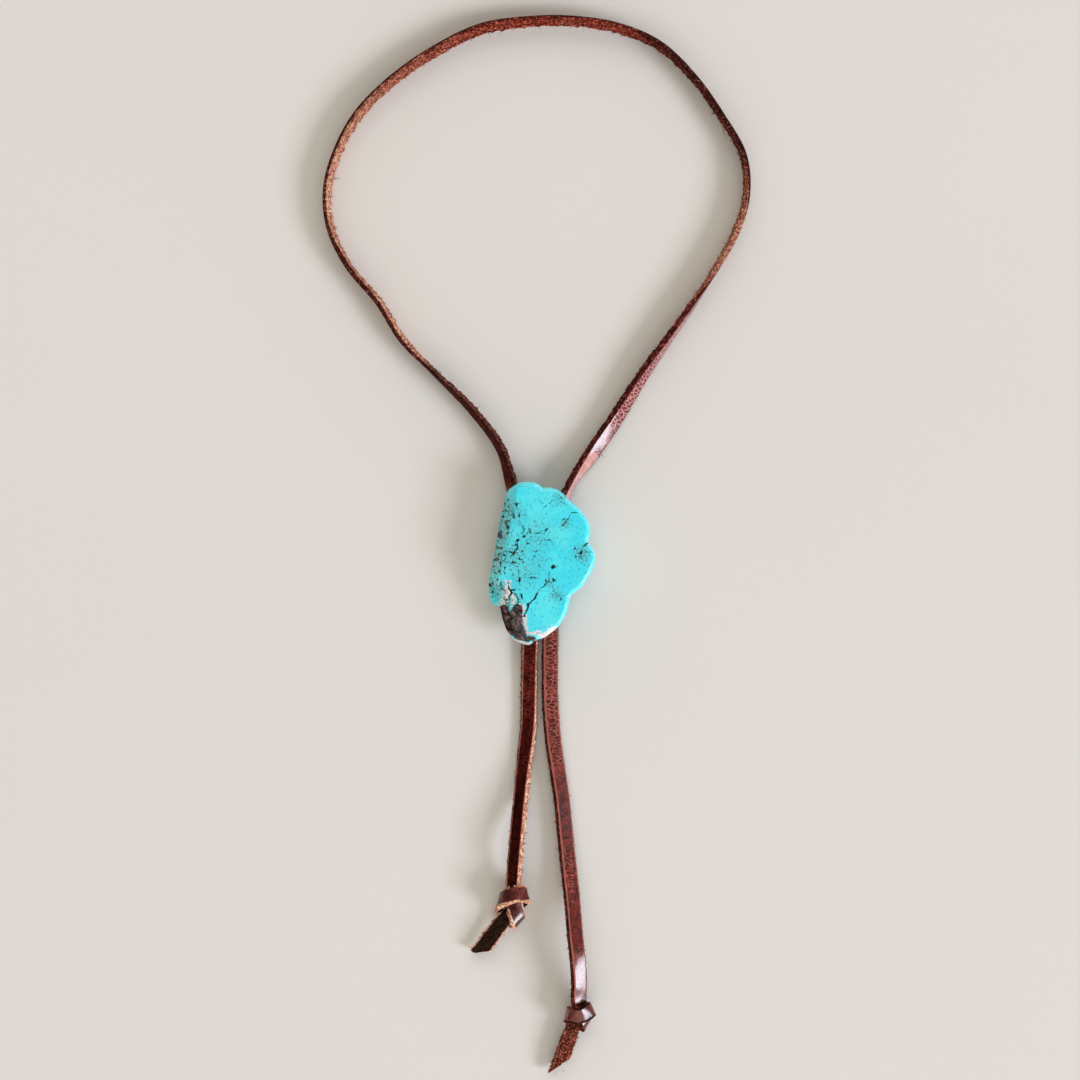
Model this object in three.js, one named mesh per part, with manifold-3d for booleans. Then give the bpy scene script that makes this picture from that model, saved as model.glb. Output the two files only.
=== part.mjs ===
// A leather lariat necklace lying flat on a table: one flat lace makes the neck loop, runs
// through a metal slide under a stone slab, and ends in two tails with a folded knot each.
// Millimetres. The origin is on the table under the middle of the stone, +X is to the
// wearer's left, +Y is towards the nape and +Z is up, off the table.
import * as THREE from 'three';
import { mergeVertices } from 'three/addons/utils/BufferGeometryUtils.js';
import Module from 'manifold-3d';

const wasm = await Module();
wasm.setup();

// ---- Driving dimensions -------------------------------------------------------------------

const LACE = { width: 5.0, thickness: 1.8, chamfer: 0.45 };
const KNOTTED = { width: 4.4, thickness: 1.5, chamfer: 0.4 };  // the lace squeezed in a knot
const LOOP_STEPS = 54;
const TAIL_STEP = 5.5;
const KNOT_STEP = 0.8;
const GAP = 0.3;                                 // between pieces that meet
const TABLE_GAP = 0.06;                          // under the lace, which lies on the table

const SLIDE = { width: 14.8, length: 16, height: 4.9, wall: 1.1, corner: 1.2 };
const SLIDE_RISE = SLIDE.height / 2 - LACE.thickness / 2;  // of the lace inside the slide
const STRAND_X = 3.3;                            // of each strand's middle inside the slide

const STONE = { depth: 6.0, rim: 1.7, rimSteps: 3, outlineSteps: 84 };
const STONE_FLOOR = SLIDE.height + GAP;

const COLOURS = { leather: 0x5a3128, stone: 0x58d2dc, metal: 0x8d8a84 };

// ---- Routes -------------------------------------------------------------------------------

// Each row: x and y of the lace's middle, how far it stands above lying on the table, and its
// lean in degrees: 0 with the grain up, 90 on its edge with the grain to the left of travel.
const NECK_ROUTE = [
  // x, y, rise, lean
  [-STRAND_X, 0.15, SLIDE_RISE, 0],
  [-STRAND_X, 8.5, SLIDE_RISE, 0],
  [-6.6, 17.0, 0.5, 26],
  [-9.6, 25.0, 0, 56],
  [-13.0, 36.2, 0, 71],
  [-21.9, 48.5, 0, 75],
  [-33.0, 59.6, 0, 87],
  [-44.0, 70.7, 0, 99],
  [-51.7, 82.9, 0, 100],
  [-61.5, 94.6, 0, 98],
  [-67.2, 106.6, 0, 98],
  [-68.3, 118.9, 0, 98],
  [-64.8, 131.6, 0, 98],
  [-58.2, 143.2, 0, 98],
  [-47.5, 153.9, 0, 99],
  [-34.5, 162.9, 0, 101],
  [-19.6, 170.1, 0, 101],
  [-5.0, 172.6, 0, 97],
  [10.0, 172.8, 0, 95],
  [25.0, 170.4, 0, 95],
  [37.8, 164.8, 0, 92],
  [48.8, 154.3, 0, 88],
  [57.6, 142.0, 0, 87],
  [64.4, 129.6, 0, 88],
  [65.3, 116.9, 0, 92],
  [61.7, 105.0, 0, 98],
  [55.3, 93.4, 0, 93],
  [47.6, 81.6, 0, 80],
  [39.6, 70.2, 0, 72],
  [31.8, 59.0, 0, 58],
  [24.6, 47.4, 0, 42],
  [18.8, 38.8, 0, 35],
  [14.6, 32.8, 0, 45],
  [9.8, 26.0, 0, 71],
  [6.0, 17.0, 0.5, 48],
  [STRAND_X, 8.5, SLIDE_RISE, 0],
  [STRAND_X, 0.15, SLIDE_RISE, 0],
];

const LEFT_TAIL_ROUTE = [
  // x, y, rise, lean
  [-STRAND_X, -0.15, SLIDE_RISE, 0],
  [-STRAND_X, -8.5, SLIDE_RISE, 0],
  [-3.5, -17.0, 0.9, 0],
  [-3.8, -26.0, 0.3, -3],
  [-4.0, -34.8, 0.1, -6],
  [-4.1, -43.6, 0, -10],
  [-4.2, -50.0, 0, -15],
  [-4.7, -56.3, 0, -20],
  [-5.8, -65.9, 0.1, -32],
  [-6.8, -75.5, 1.0, -38],
  [-7.3, -80.8, 1.9, -37],
  [-7.8, -86.0, 2.9, -36],
  [-8.5, -94.0, 3.7, -36],
  [-8.9, -99.0, 3.0, -33],
  [-9.12, -101.5, 2.4, -32],
];

const RIGHT_TAIL_ROUTE = [
  // x, y, rise, lean
  [STRAND_X, -0.15, SLIDE_RISE, 0],
  [STRAND_X, -8.5, SLIDE_RISE, 0],
  [3.0, -17.0, 0.9, 4],
  [2.8, -26.0, 0.3, 10],
  [2.7, -34.8, 0.1, 14],
  [2.8, -43.6, 0, 18],
  [3.7, -56.3, 0, 22],
  [5.1, -65.9, 0, 26],
  [6.5, -75.5, 0, 27],
  [8.1, -91.4, 0.3, 24],
  [8.9, -98.7, 1.0, 22],
  [9.7, -106.0, 2.0, 22],
  [10.7, -118.0, 4.3, 24],
  [11.5, -125.5, 4.9, 28],
  [11.9, -133.0, 3.9, 29],
  [11.85, -138.5, 2.6, 28],
];

// Each knot is the lace folded flat like a ribbon, in its own frame round its front band.
// A leg has its first heading in degrees (0 to +X, 90 to +Y), how much it bends on the way,
// its length and the height of its middle at its two ends. Between legs at different heights
// the lace makes a half turn, with its grain side outwards.
const LEFT_KNOT = {
  at: [-9.4, -106.7, 0.2],
  start: [0.3, 4.45],
  legs: [
    // heading, bend, length, from, to
    [-88, 6, 5.8, 4.1, 4.1],
    [-82, 5, 5.5, 4.1, 4.1],
    [152, -22, 4.3, 0.8, 0.8],
    [24, -22, 2.5, 6.2, 6.2],
    [2, -14, 1.6, 6.2, 5.8],
    [-138, 13, 9.4, 2.45, 2.45],
    [-125, -4, 14.0, 2.45, 2.2],
  ],
  cut: { point: [-5.2, -16.4], heading: 190 },
};

const RIGHT_KNOT = {
  at: [12.8, -144.2, 0.12],
  start: [-0.9, 5.0],
  legs: [
    // heading, bend, length, from, to
    [-78, 6, 2.8, 4.1, 4.1],
    [-72, 3, 3.6, 4.1, 4.1],
    [157, -15, 3.5, 0.8, 0.8],
    [0, 20, 3.0, 6.2, 6.2],
    [20, 8, 1.7, 6.2, 5.8],
    [-147, 42, 9.4, 2.45, 2.45],
    [-108, -4, 16.5, 2.45, 1.2],
  ],
  cut: { point: [-2.6, -12.7], heading: 214 },
};

// The slab's outline, clockwise from its top left corner.
const STONE_OUTLINE = [
  [-10.6, 23.0], [-8.4, 24.9], [-5.5, 25.7], [-2.4, 25.6], [0.3, 24.2], [2.7, 24.0],
  [5.8, 22.7], [8.6, 20.1], [11.5, 17.5], [13.9, 14.5], [15.1, 11.2], [14.9, 7.6],
  [15.7, 5.2], [16.8, 1.8], [15.9, -2.1], [13.4, -6.5], [10.0, -9.5], [8.7, -12.2],
  [7.4, -16.4], [4.6, -20.4], [0.8, -23.3], [-2.6, -24.6], [-4.8, -25.7], [-8.1, -24.5],
  [-10.9, -21.3], [-12.5, -16.9], [-13.2, -13.8], [-15.6, -12.7], [-16.7, -8.3],
  [-15.8, -2.4], [-14.8, 3.6], [-13.7, 9.9], [-12.5, 16.2], [-11.4, 20.6],
];

// Slanting faces of the slab: a point on each, the way it faces in plan and its steepness.
const STONE_FACETS = [
  { point: [-12.0, 3.0, 11.2], heading: 168, steepness: 56 },
  { point: [-6.6, -17.5, 11.2], heading: 206, steepness: 50 },
];

// ---- Geometry helpers ---------------------------------------------------------------------

const UP = new THREE.Vector3(0, 0, 1);

function direction(degrees) {
  const angle = THREE.MathUtils.degToRad(degrees);
  return new THREE.Vector3(Math.cos(angle), Math.sin(angle), 0);
}

// The lace's section: x points to its grain side and y across it.
function laceSection({ width, thickness, chamfer }) {
  const [w, t] = [width / 2, thickness / 2];
  return new THREE.Shape([
    [t, -w + chamfer], [t, w - chamfer], [t - chamfer, w], [-t + chamfer, w],
    [-t, w - chamfer], [-t, -w + chamfer], [-t + chamfer, -w], [t - chamfer, -w],
  ].map(([x, y]) => new THREE.Vector2(x, y)));
}

// A route of the lace's middle that also says which way the grain side faces along it.
class LacePath extends THREE.CatmullRomCurve3 {
  constructor(places, faces) {
    super(places);
    this.faces = new THREE.CatmullRomCurve3(faces, false, 'catmullrom');
  }

  computeFrenetFrames(steps) {
    const frames = { tangents: [], normals: [], binormals: [] };
    for (let i = 0; i <= steps; i++) {
      const t = this.getUtoTmapping(i / steps);
      const tangent = this.getTangent(t);
      const face = this.faces.getPoint(t).projectOnPlane(tangent).normalize();
      frames.tangents.push(tangent);
      frames.normals.push(face);
      frames.binormals.push(tangent.clone().cross(face));
    }
    return frames;
  }
}

function extrudeLace(path, steps, lace) {
  return new THREE.ExtrudeGeometry(laceSection(lace), { steps, extrudePath: path });
}

// Half the height of a lace that leans by so many degrees.
function halfHeight(lean, { width, thickness, chamfer }) {
  const angle = THREE.MathUtils.degToRad(lean);
  const [s, c] = [Math.abs(Math.sin(angle)), Math.abs(Math.cos(angle))];
  const [w, t] = [width / 2, thickness / 2];
  return Math.max(w * s + (t - chamfer) * c, (w - chamfer) * s + t * c);
}

function routeToPath(rows) {
  const places = rows.map(([x, y, rise, lean]) =>
    new THREE.Vector3(x, y, halfHeight(lean, LACE) + TABLE_GAP + rise));
  const faces = rows.map(([, , , lean], i) => {
    const before = places[Math.max(i - 1, 0)];
    const after = places[Math.min(i + 1, rows.length - 1)];
    const travel = after.clone().sub(before).setZ(0).normalize();
    const left = UP.clone().cross(travel);
    const angle = THREE.MathUtils.degToRad(lean);
    return UP.clone().multiplyScalar(Math.cos(angle)).addScaledVector(left, Math.sin(angle));
  });
  return new LacePath(places, faces);
}

// Walks along a knot's legs and folds, and returns the path of the folded lace.
function foldedPath({ start, legs }) {
  const LEG_STATIONS = 6;
  const FOLD_STATIONS = 8;
  const places = [];
  const faces = [];
  const at = new THREE.Vector3(start[0], start[1], legs[0][3]);
  let grain = 1;                                 // +1 while the grain side is up
  legs.forEach(([heading, bend, length, from, to], i) => {
    const step = length / LEG_STATIONS;
    for (let k = 0; k < LEG_STATIONS; k++) {
      places.push(at.clone());
      faces.push(UP.clone().multiplyScalar(grain));
      at.addScaledVector(direction(heading + bend * (k + 0.5) / LEG_STATIONS), step);
      at.z = THREE.MathUtils.lerp(from, to, (k + 1) / LEG_STATIONS);
    }
    const next = legs[i + 1];
    if (!next) {
      places.push(at.clone());
      faces.push(UP.clone().multiplyScalar(grain));
      return;
    }
    if (next[3] === to) {
      return;
    }
    // The crease lies across the bisector, so the lace winds half a turn of a helix on it.
    const radius = Math.abs(next[3] - to) / 2;
    const inward = direction(heading + bend);
    const outward = direction(next[0]);
    const normal = inward.clone().sub(outward).normalize();
    const along = inward.clone().projectOnPlane(normal);
    const slip = along.length() / inward.dot(normal);
    along.normalize();
    const base = at.clone();
    for (let k = 0; k < FOLD_STATIONS; k++) {
      const turn = Math.PI * k / FOLD_STATIONS;
      const radial = normal.clone().multiplyScalar(Math.sin(turn))
        .addScaledVector(UP, grain * Math.cos(turn));
      if (k > 0) {
        places.push(base.clone().addScaledVector(UP, -grain * radius)
          .addScaledVector(radial, radius).addScaledVector(along, radius * turn * slip));
        faces.push(radial);
      }
    }
    at.copy(base).addScaledVector(along, radius * Math.PI * slip);
    at.z = next[3];
    grain = -grain;
  });
  return new LacePath(places, faces);
}

// ---- Solids for cutting -------------------------------------------------------------------

function toManifold(geometry) {
  const bare = geometry.index ? geometry.toNonIndexed() : geometry.clone();
  bare.deleteAttribute('normal');
  bare.deleteAttribute('uv');
  const merged = mergeVertices(bare, 1e-4);
  return new wasm.Manifold(new wasm.Mesh({
    numProp: 3,
    vertProperties: new Float32Array(merged.attributes.position.array),
    triVerts: new Uint32Array(merged.index.array),
  }));
}

function toGeometry(manifold) {
  const mesh = manifold.getMesh();
  const geometry = new THREE.BufferGeometry();
  geometry.setAttribute('position', new THREE.BufferAttribute(mesh.vertProperties, 3));
  geometry.setIndex(new THREE.BufferAttribute(mesh.triVerts, 1));
  geometry.computeVertexNormals();
  return geometry;
}

// Cuts away all that lies beyond a plane through the point, on the side that it faces.
function cutBeyond(geometry, point, facing) {
  const size = 60;
  const block = new THREE.BoxGeometry(size, size, size);
  block.translate(0, 0, size / 2);
  block.applyQuaternion(new THREE.Quaternion().setFromUnitVectors(UP, facing));
  block.translate(point.x, point.y, point.z);
  return toGeometry(toManifold(geometry).subtract(toManifold(block)));
}

// ---- Sub-parts ----------------------------------------------------------------------------

function neckLoop() {
  return extrudeLace(routeToPath(NECK_ROUTE), LOOP_STEPS, LACE);
}

function tail(route) {
  const path = routeToPath(route);
  return extrudeLace(path, Math.round(path.getLength() / TAIL_STEP), LACE);
}

function knot(plan) {
  const path = foldedPath(plan);
  const folded = extrudeLace(path, Math.round(path.getLength() / KNOT_STEP), KNOTTED);
  const [x, y] = plan.cut.point;
  return cutBeyond(folded, new THREE.Vector3(x, y, 0), direction(plan.cut.heading + 90));
}

function stone() {
  const spline = new THREE.SplineCurve(
    [...STONE_OUTLINE, STONE_OUTLINE[0]].map(([x, y]) => new THREE.Vector2(x, y)));
  const outline = new THREE.Shape(spline.getPoints(STONE.outlineSteps).slice(0, -1));
  let slab = new THREE.ExtrudeGeometry(outline, {
    depth: STONE.depth - 2 * STONE.rim,
    bevelThickness: STONE.rim,
    bevelSize: STONE.rim,
    bevelOffset: -STONE.rim,
    bevelSegments: STONE.rimSteps,
  });
  slab.translate(0, 0, STONE_FLOOR + STONE.rim);
  for (const { point, heading, steepness } of STONE_FACETS) {
    const tilt = THREE.MathUtils.degToRad(steepness);
    const facing = direction(heading).multiplyScalar(Math.sin(tilt))
      .addScaledVector(UP, Math.cos(tilt));
    slab = cutBeyond(slab, new THREE.Vector3(...point), facing);
  }
  return slab;
}

function roundedRectangle(width, height, radius) {
  const [w, h] = [width / 2, height / 2];
  const shape = new THREE.Shape();
  shape.moveTo(-w + radius, -h);
  shape.lineTo(w - radius, -h);
  shape.absarc(w - radius, -h + radius, radius, -Math.PI / 2, 0);
  shape.absarc(w - radius, h - radius, radius, 0, Math.PI / 2);
  shape.absarc(-w + radius, h - radius, radius, Math.PI / 2, Math.PI);
  shape.absarc(-w + radius, -h + radius, radius, Math.PI, 1.5 * Math.PI);
  return shape;
}

// A flat sleeve on the stone's back that both strands run through side by side.
function slide() {
  const { width, length, height, wall, corner } = SLIDE;
  const section = roundedRectangle(width, height, corner);
  section.holes.push(roundedRectangle(width - 2 * wall, height - 2 * wall, corner - wall / 2));
  const sleeve = new THREE.ExtrudeGeometry(section, {
    depth: length, bevelEnabled: false, curveSegments: 5,
  });
  sleeve.rotateX(Math.PI / 2);
  sleeve.translate(0, length / 2, height / 2);
  return sleeve;
}

// ---- The necklace -------------------------------------------------------------------------

const FINISHES = {
  leather: { color: COLOURS.leather, roughness: 0.55, metalness: 0 },
  stone: { color: COLOURS.stone, roughness: 0.3, metalness: 0 },
  metal: { color: COLOURS.metal, roughness: 0.4, metalness: 1 },
};

const necklace = new THREE.Group();

function addPiece(name, geometry, finish, at = [0, 0, 0]) {
  const mesh = new THREE.Mesh(geometry, new THREE.MeshStandardMaterial(FINISHES[finish]));
  mesh.name = name;
  mesh.position.set(...at);
  necklace.add(mesh);
}

addPiece('neck_loop', neckLoop(), 'leather');
addPiece('left_tail', tail(LEFT_TAIL_ROUTE), 'leather');
addPiece('right_tail', tail(RIGHT_TAIL_ROUTE), 'leather');
addPiece('left_knot', knot(LEFT_KNOT), 'leather', LEFT_KNOT.at);
addPiece('right_knot', knot(RIGHT_KNOT), 'leather', RIGHT_KNOT.at);
addPiece('stone', stone(), 'stone');
addPiece('slide', slide(), 'metal');

export default necklace;
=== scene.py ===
"""A leather lariat necklace with a turquoise slab, lying flat on a pale table.

One flat leather lace makes the neck loop, runs through a metal slide under the stone and
ends in two tails, each tied in a folded knot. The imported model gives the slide; the lace,
the knots and the stone are modelled here over their plain solids. All sizes are metres.
"""
import math
import random
from collections import namedtuple

import bpy
import numpy as np
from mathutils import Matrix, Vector, noise


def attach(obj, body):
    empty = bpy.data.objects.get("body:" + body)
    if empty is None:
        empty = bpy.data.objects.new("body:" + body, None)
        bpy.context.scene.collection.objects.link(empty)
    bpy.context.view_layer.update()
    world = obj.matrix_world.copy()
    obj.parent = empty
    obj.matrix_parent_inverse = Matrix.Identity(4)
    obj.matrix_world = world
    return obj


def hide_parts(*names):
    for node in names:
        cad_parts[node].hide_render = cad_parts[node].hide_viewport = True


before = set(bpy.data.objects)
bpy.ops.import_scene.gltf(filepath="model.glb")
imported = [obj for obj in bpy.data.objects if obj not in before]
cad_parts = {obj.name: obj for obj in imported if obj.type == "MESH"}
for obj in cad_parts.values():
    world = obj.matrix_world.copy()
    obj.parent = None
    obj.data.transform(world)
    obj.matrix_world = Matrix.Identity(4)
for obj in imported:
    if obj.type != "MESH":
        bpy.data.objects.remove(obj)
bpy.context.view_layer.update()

# ---- Driving sizes ---------------------------------------------------------------------------

MM = 0.001

LACE_WIDTH = 0.0050
LACE_THICKNESS = 0.0018
LACE_CORNER = 0.00042                 # radius of the pressed corners on the grain side
GRAIN_CROWN = 0.05                    # share by which the grain side falls towards its corners
EDGE_BULGE = 0.00006
LINE_STEP = 0.0004
TABLE_GAP = 0.00006                   # under the lace, which lies on the table
TABLE_SKIN = 0.00002                  # how far above 0 the lace stays, and below it the floor
SLIDE_HEIGHT = 0.0049
SLIDE_RISE = (SLIDE_HEIGHT - LACE_THICKNESS) / 2
STRAND_X = 0.0033                     # of each strand's middle inside the slide

KNOT_THICKNESS = 0.0015               # of the lace squeezed in a knot
KNOT_STEP = 0.00025
KNOT_SOFTNESS = 24                    # rounds of smoothing of a knot's folds
TWIST_SOFTNESS = 40                   # and of its twists and widths
KNOT_ENTRY = 0.0040                   # how far a tail runs into its knot
KNOT_TAPER = 0.0120                   # over which the tail narrows before it
KNOT_RAGGED = 1.4                     # its nap and frayed edges, against the lace's
HOLLOW_SHADE_REACH = 0.0068                 # how far along a knot's grain the painted shade of its hollow reaches

# Rows of vertices lie this far apart, and columns split each side of the lace this often.
LOOP_STEP = 0.00032
TAIL_STEP = 0.00025
GRAIN_COLUMNS = 12
CORNER_COLUMNS = 3
EDGE_COLUMNS = 5
FLESH_COLUMNS = 14

# Unevenness: how high and how long its waves are.
GRAIN_WAVES = (0.00005, 0.0026)
NAP_CLUMPS, NAP_TUFTS = (0.00042, 0.0012), (0.00026, 0.0006)
EDGE_WAVES = (0.00010, 0.0042)
FRAY_CLUMPS, FRAY_TUFTS = (0.00042, 0.0011), (0.00036, 0.0005)
STONE_SWELL = (0.00010, 0.011)
ROCK_LUMPS, ROCK_GRAINS = (0.00030, 0.0024), (0.00016, 0.0009)
WALL_WAVES, BACK_WAVES = (0.00012, 0.0018), (0.00012, 0.0030)
MARK_WANDER, MARK_JITTER = (0.00060, 0.0022), (0.00022, 0.0006)

FIBRE_START = 0.016                   # the first fibre's distance from a cord's hidden end
FIBRE_LONGEST = 0.0011
FIBRE_SHORTEST = 0.00020
FIBRE_SUNK = 0.00005
FIBRE_RADIUS = (0.00009, 0.00017)
FIBRE_SPREAD, FIBRE_CURL = 0.7, 0.5   # how far fibres point aside, and bend off
FIBRE_SIDES, FIBRE_RINGS = 3, 3
FLESH_FIBRES, RAW_FIBRES = 0.3, 0.6   # shares of fibres on the flesh side and undyed
RAW_FIBRE, DYED_FIBRE = -2.0, 4.0     # dye depths that leave a fibre raw or dark

STONE_FLOOR = 0.0052
STONE_DEPTH = 0.0060
STONE_RIM = 0.0017                    # radius of the slab's worn upper edge
STONE_FOOT = 0.0007                   # and of its lower edge
STONE_LEAST = 0.0016                  # thickness left where a facet runs out
STONE_MIDDLE = np.array((-0.0005, 0.0))
STONE_RIDGE = 0.0008                  # rounds the ridge where a facet starts
FACET_ROUGHNESS, PATCH_ROUGHNESS = 2.2, 2.6
PATCH_DEPTH, VEIN_DEPTH, CHALK_DEPTH = 0.00005, 0.00016, 0.00010
STONE_RINGS = 105
STONE_SECTORS = 520
WALL_ROWS = 10
BACK_RINGS = 14
MARK_NONE = -4.0                      # a mark's value far away from it

CAMERA_PLACE = (-0.0005, 0.0074, 0.5800)
CAMERA_FIELD = math.radians(33.18)

FLOOR_HALF = 3.0

LAMPS = [
    # name, azimuth from +X, elevation, distance, width, height, power, colour
    ("window", -26, 24, 8.0, 3.50, 2.30, 544.0, (0.84, 0.89, 1.0)),
]
ROOM_COLOUR = (1.0, 0.950, 0.840, 1.0)
ROOM_WALLS, ROOM_REST = 1.74, 0.12    # brightness of the two pale walls and of all else

# ---- Routes of the lace ----------------------------------------------------------------------

# Each row: x and y of the lace's middle, how far it stands above lying on the table, its lean
# in degrees (0 with the grain up, 90 on its edge with the grain to the left of travel), how deep
# the dark dye has soaked into its cut edges, in millimetres, and how pale its undyed leather is.
NECK_ROUTE = [
    # x, y, rise, lean, dye, pale
    (-STRAND_X, 0.00015, SLIDE_RISE, 0, 1.8, 0.2),
    (-STRAND_X, 0.0085, SLIDE_RISE, 0, 1.8, 0.2),
    (-0.0066, 0.0170, 0.0005, 26, 1.4, 0.2),
    (-0.0096, 0.0250, 0, 56, 0.9, 0.2),
    (-0.0130, 0.0362, 0, 71, 0.6, 0.2),
    (-0.0219, 0.0485, 0, 75, 0.6, 0.2),
    (-0.0330, 0.0596, 0, 87, 0.9, 0.3),
    (-0.0440, 0.0707, 0, 99, 1.4, 0.8),
    (-0.0517, 0.0829, 0, 100, 1.5, 0.7),
    (-0.0615, 0.0946, 0, 98, 1.8, 0.5),
    (-0.0672, 0.1066, 0, 98, 1.3, 0.8),
    (-0.0683, 0.1189, 0, 98, 1.2, 0.8),
    (-0.0648, 0.1316, 0, 98, 1.1, 0.7),
    (-0.0582, 0.1432, 0, 98, 0.9, 0.45),
    (-0.0475, 0.1539, 0, 99, 0.8, 0.2),
    (-0.0345, 0.1629, 0, 101, 0.75, 0.1),
    (-0.0196, 0.1701, 0, 101, 0.7, 0.0),
    (-0.0050, 0.1726, 0, 97, 0.7, 0.0),
    (0.0100, 0.1728, 0, 95, 0.7, 0.0),
    (0.0250, 0.1704, 0, 95, 0.9, 0.0),
    (0.0378, 0.1648, 0, 92, 2.4, 0.0),
    (0.0488, 0.1543, 0, 88, 2.0, 0.0),
    (0.0576, 0.1420, 0, 87, 1.7, 0.0),
    (0.0644, 0.1296, 0, 88, 1.1, 0.1),
    (0.0653, 0.1169, 0, 92, 0.6, 0.2),
    (0.0617, 0.1050, 0, 98, 0.1, 0.5),
    (0.0553, 0.0934, 0, 93, 0.3, 0.4),
    (0.0476, 0.0816, 0, 80, 1.3, 0.1),
    (0.0396, 0.0702, 0, 72, 1.7, 0.0),
    (0.0318, 0.0590, 0, 58, 2.4, 0.0),
    (0.0246, 0.0474, 0, 42, 2.4, 0.0),
    (0.0188, 0.0388, 0, 35, 2.4, 0.0),
    (0.0146, 0.0328, 0, 45, 2.4, 0.0),
    (0.0098, 0.0260, 0, 71, 2.4, 0.0),
    (0.0060, 0.0170, 0.0005, 48, 2.4, 0.0),
    (STRAND_X, 0.0085, SLIDE_RISE, 0, 2.4, 0.0),
    (STRAND_X, 0.00015, SLIDE_RISE, 0, 2.4, 0.0),
]

# The tails' rows are the same, with one dye and one pale for the whole tail, which paint light
# and shade on the cut edges: the left tail's are left raw and pale as painted light, the right
# tail's are dyed dark as painted shade. Its stain and shade, shaded side and dull_to are what
# lace_piece and paint_lace take.
LEFT_TAIL_ROUTE = [
    # x, y, rise, lean
    (-STRAND_X, -0.00015, SLIDE_RISE, 0),
    (-STRAND_X, -0.0085, SLIDE_RISE, 0),
    (-0.0035, -0.0170, 0.0009, 0),
    (-0.0038, -0.0260, 0.0003, -3),
    (-0.0040, -0.0348, 0.0001, -6),
    (-0.0041, -0.0436, 0, -10),
    (-0.0042, -0.0500, 0, -15),
    (-0.0047, -0.0563, 0, -20),
    (-0.0058, -0.0659, 0.0001, -32),
    (-0.0068, -0.0755, 0.0010, -38),
    (-0.0073, -0.0808, 0.0019, -37),
    (-0.0078, -0.0860, 0.0029, -36),
    (-0.0085, -0.0940, 0.0037, -36),
    (-0.0089, -0.0990, 0.0030, -33),
    (-0.00912, -0.1015, 0.0024, -32),
]
LEFT_TAIL = {
    "route": LEFT_TAIL_ROUTE,
    # Painted light: the whole tail's cut edges are left raw and pale, like its right edge, which
    # faces the lamp.
    "dye": 0.05,
    "pale": 1.0,
    # Partly painted shade: the left tail's grain and flesh side are blackened, partly as stain
    # and partly as the shade of its grain, which is turned from the lamp.
    "stain": (0.45, 0.85, 0.9),
    "shaded_edge_side": 1,
    "dull_to": 1.0,
}

RIGHT_TAIL_ROUTE = [
    # x, y, rise, lean
    (STRAND_X, -0.00015, SLIDE_RISE, 0),
    (STRAND_X, -0.0085, SLIDE_RISE, 0),
    (0.0030, -0.0170, 0.0009, 4),
    (0.0028, -0.0260, 0.0003, 10),
    (0.0027, -0.0348, 0.0001, 14),
    (0.0028, -0.0436, 0, 18),
    (0.0037, -0.0563, 0, 22),
    (0.0051, -0.0659, 0, 26),
    (0.0065, -0.0755, 0, 27),
    (0.0081, -0.0914, 0.0003, 24),
    (0.0089, -0.0987, 0.0010, 22),
    (0.0097, -0.1060, 0.0020, 22),
    (0.0107, -0.1180, 0.0043, 24),
    (0.0115, -0.1255, 0.0049, 28),
    (0.0119, -0.1330, 0.0039, 29),
    (0.01185, -0.1385, 0.0026, 28),
]
RIGHT_TAIL = {
    "route": RIGHT_TAIL_ROUTE,
    # Painted shade: the whole tail's cut edges are dyed dark, like its left edge, which is turned
    # from the lamp.
    "dye": 2.4,
    "pale": 0.2,
    "stain": (0.0, 0.0, 0.1),
    "shaded_edge_side": 0,
    "dull_to": 0.0,
}

# Each knot is the lace folded like a ribbon, in its own frame round its front band. A leg has its
# first heading in degrees (0 to +X, 90 to +Y), how much it bends on the way, its length, the
# height of its middle at its two ends, how far it arches up between them, the lace's width there
# and its roll in degrees, which tilts its upper side to the left of travel. Between legs at
# different heights the lace makes a half turn, with its grain side outwards. The hollow is
# painted shade, the dark pocket where the tail goes in: x, y, radius and how black. The cut
# slants across the tip.
Leg = namedtuple("Leg", "heading bend length low high arch width roll")

LEFT_KNOT = {
    "hollow_shade": (-0.0094, -0.1025, 0.0008, 1.0),
    "at": (-0.0094, -0.1067, 0.00012),
    "start": (0.00030, 0.0046),
    # Painted light: the knot's cut edges are left raw and pale, like its lower edges, which face
    # the lamp.
    "dye": 0.1,
    "pale": 1.0,
    "stain": (0.35, 0.35, 0.95),
    "legs": [Leg(*row) for row in (
        # heading, bend, length, low, high, arch, width, roll
        (-88, 6, 0.0060, 0.0041, 0.0041, 0, 0.0047, -32),
        (-82, 4, 0.0028, 0.0041, 0.0041, 0, 0.0054, 4),
        (-79, 2, 0.0023, 0.0041, 0.0035, 0, 0.0054, 26),
        (148, -22, 0.0034, 0.0008, 0.0008, 0, 0.0046, 0),
        (24, -22, 0.0017, 0.0064, 0.0062, 0.0004, 0.0052, 10),
        (2, -14, 0.0016, 0.0062, 0.0054, 0, 0.0052, 4),
        (-140, 15, 0.0095, 0.00245, 0.00245, 0, 0.0046, 0),
        (-125, -4, 0.0140, 0.00275, 0.0022, 0, 0.0052, 26),
    )],
    "cut": {"point": (-0.0052, -0.0164), "heading": 190},
}

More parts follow.
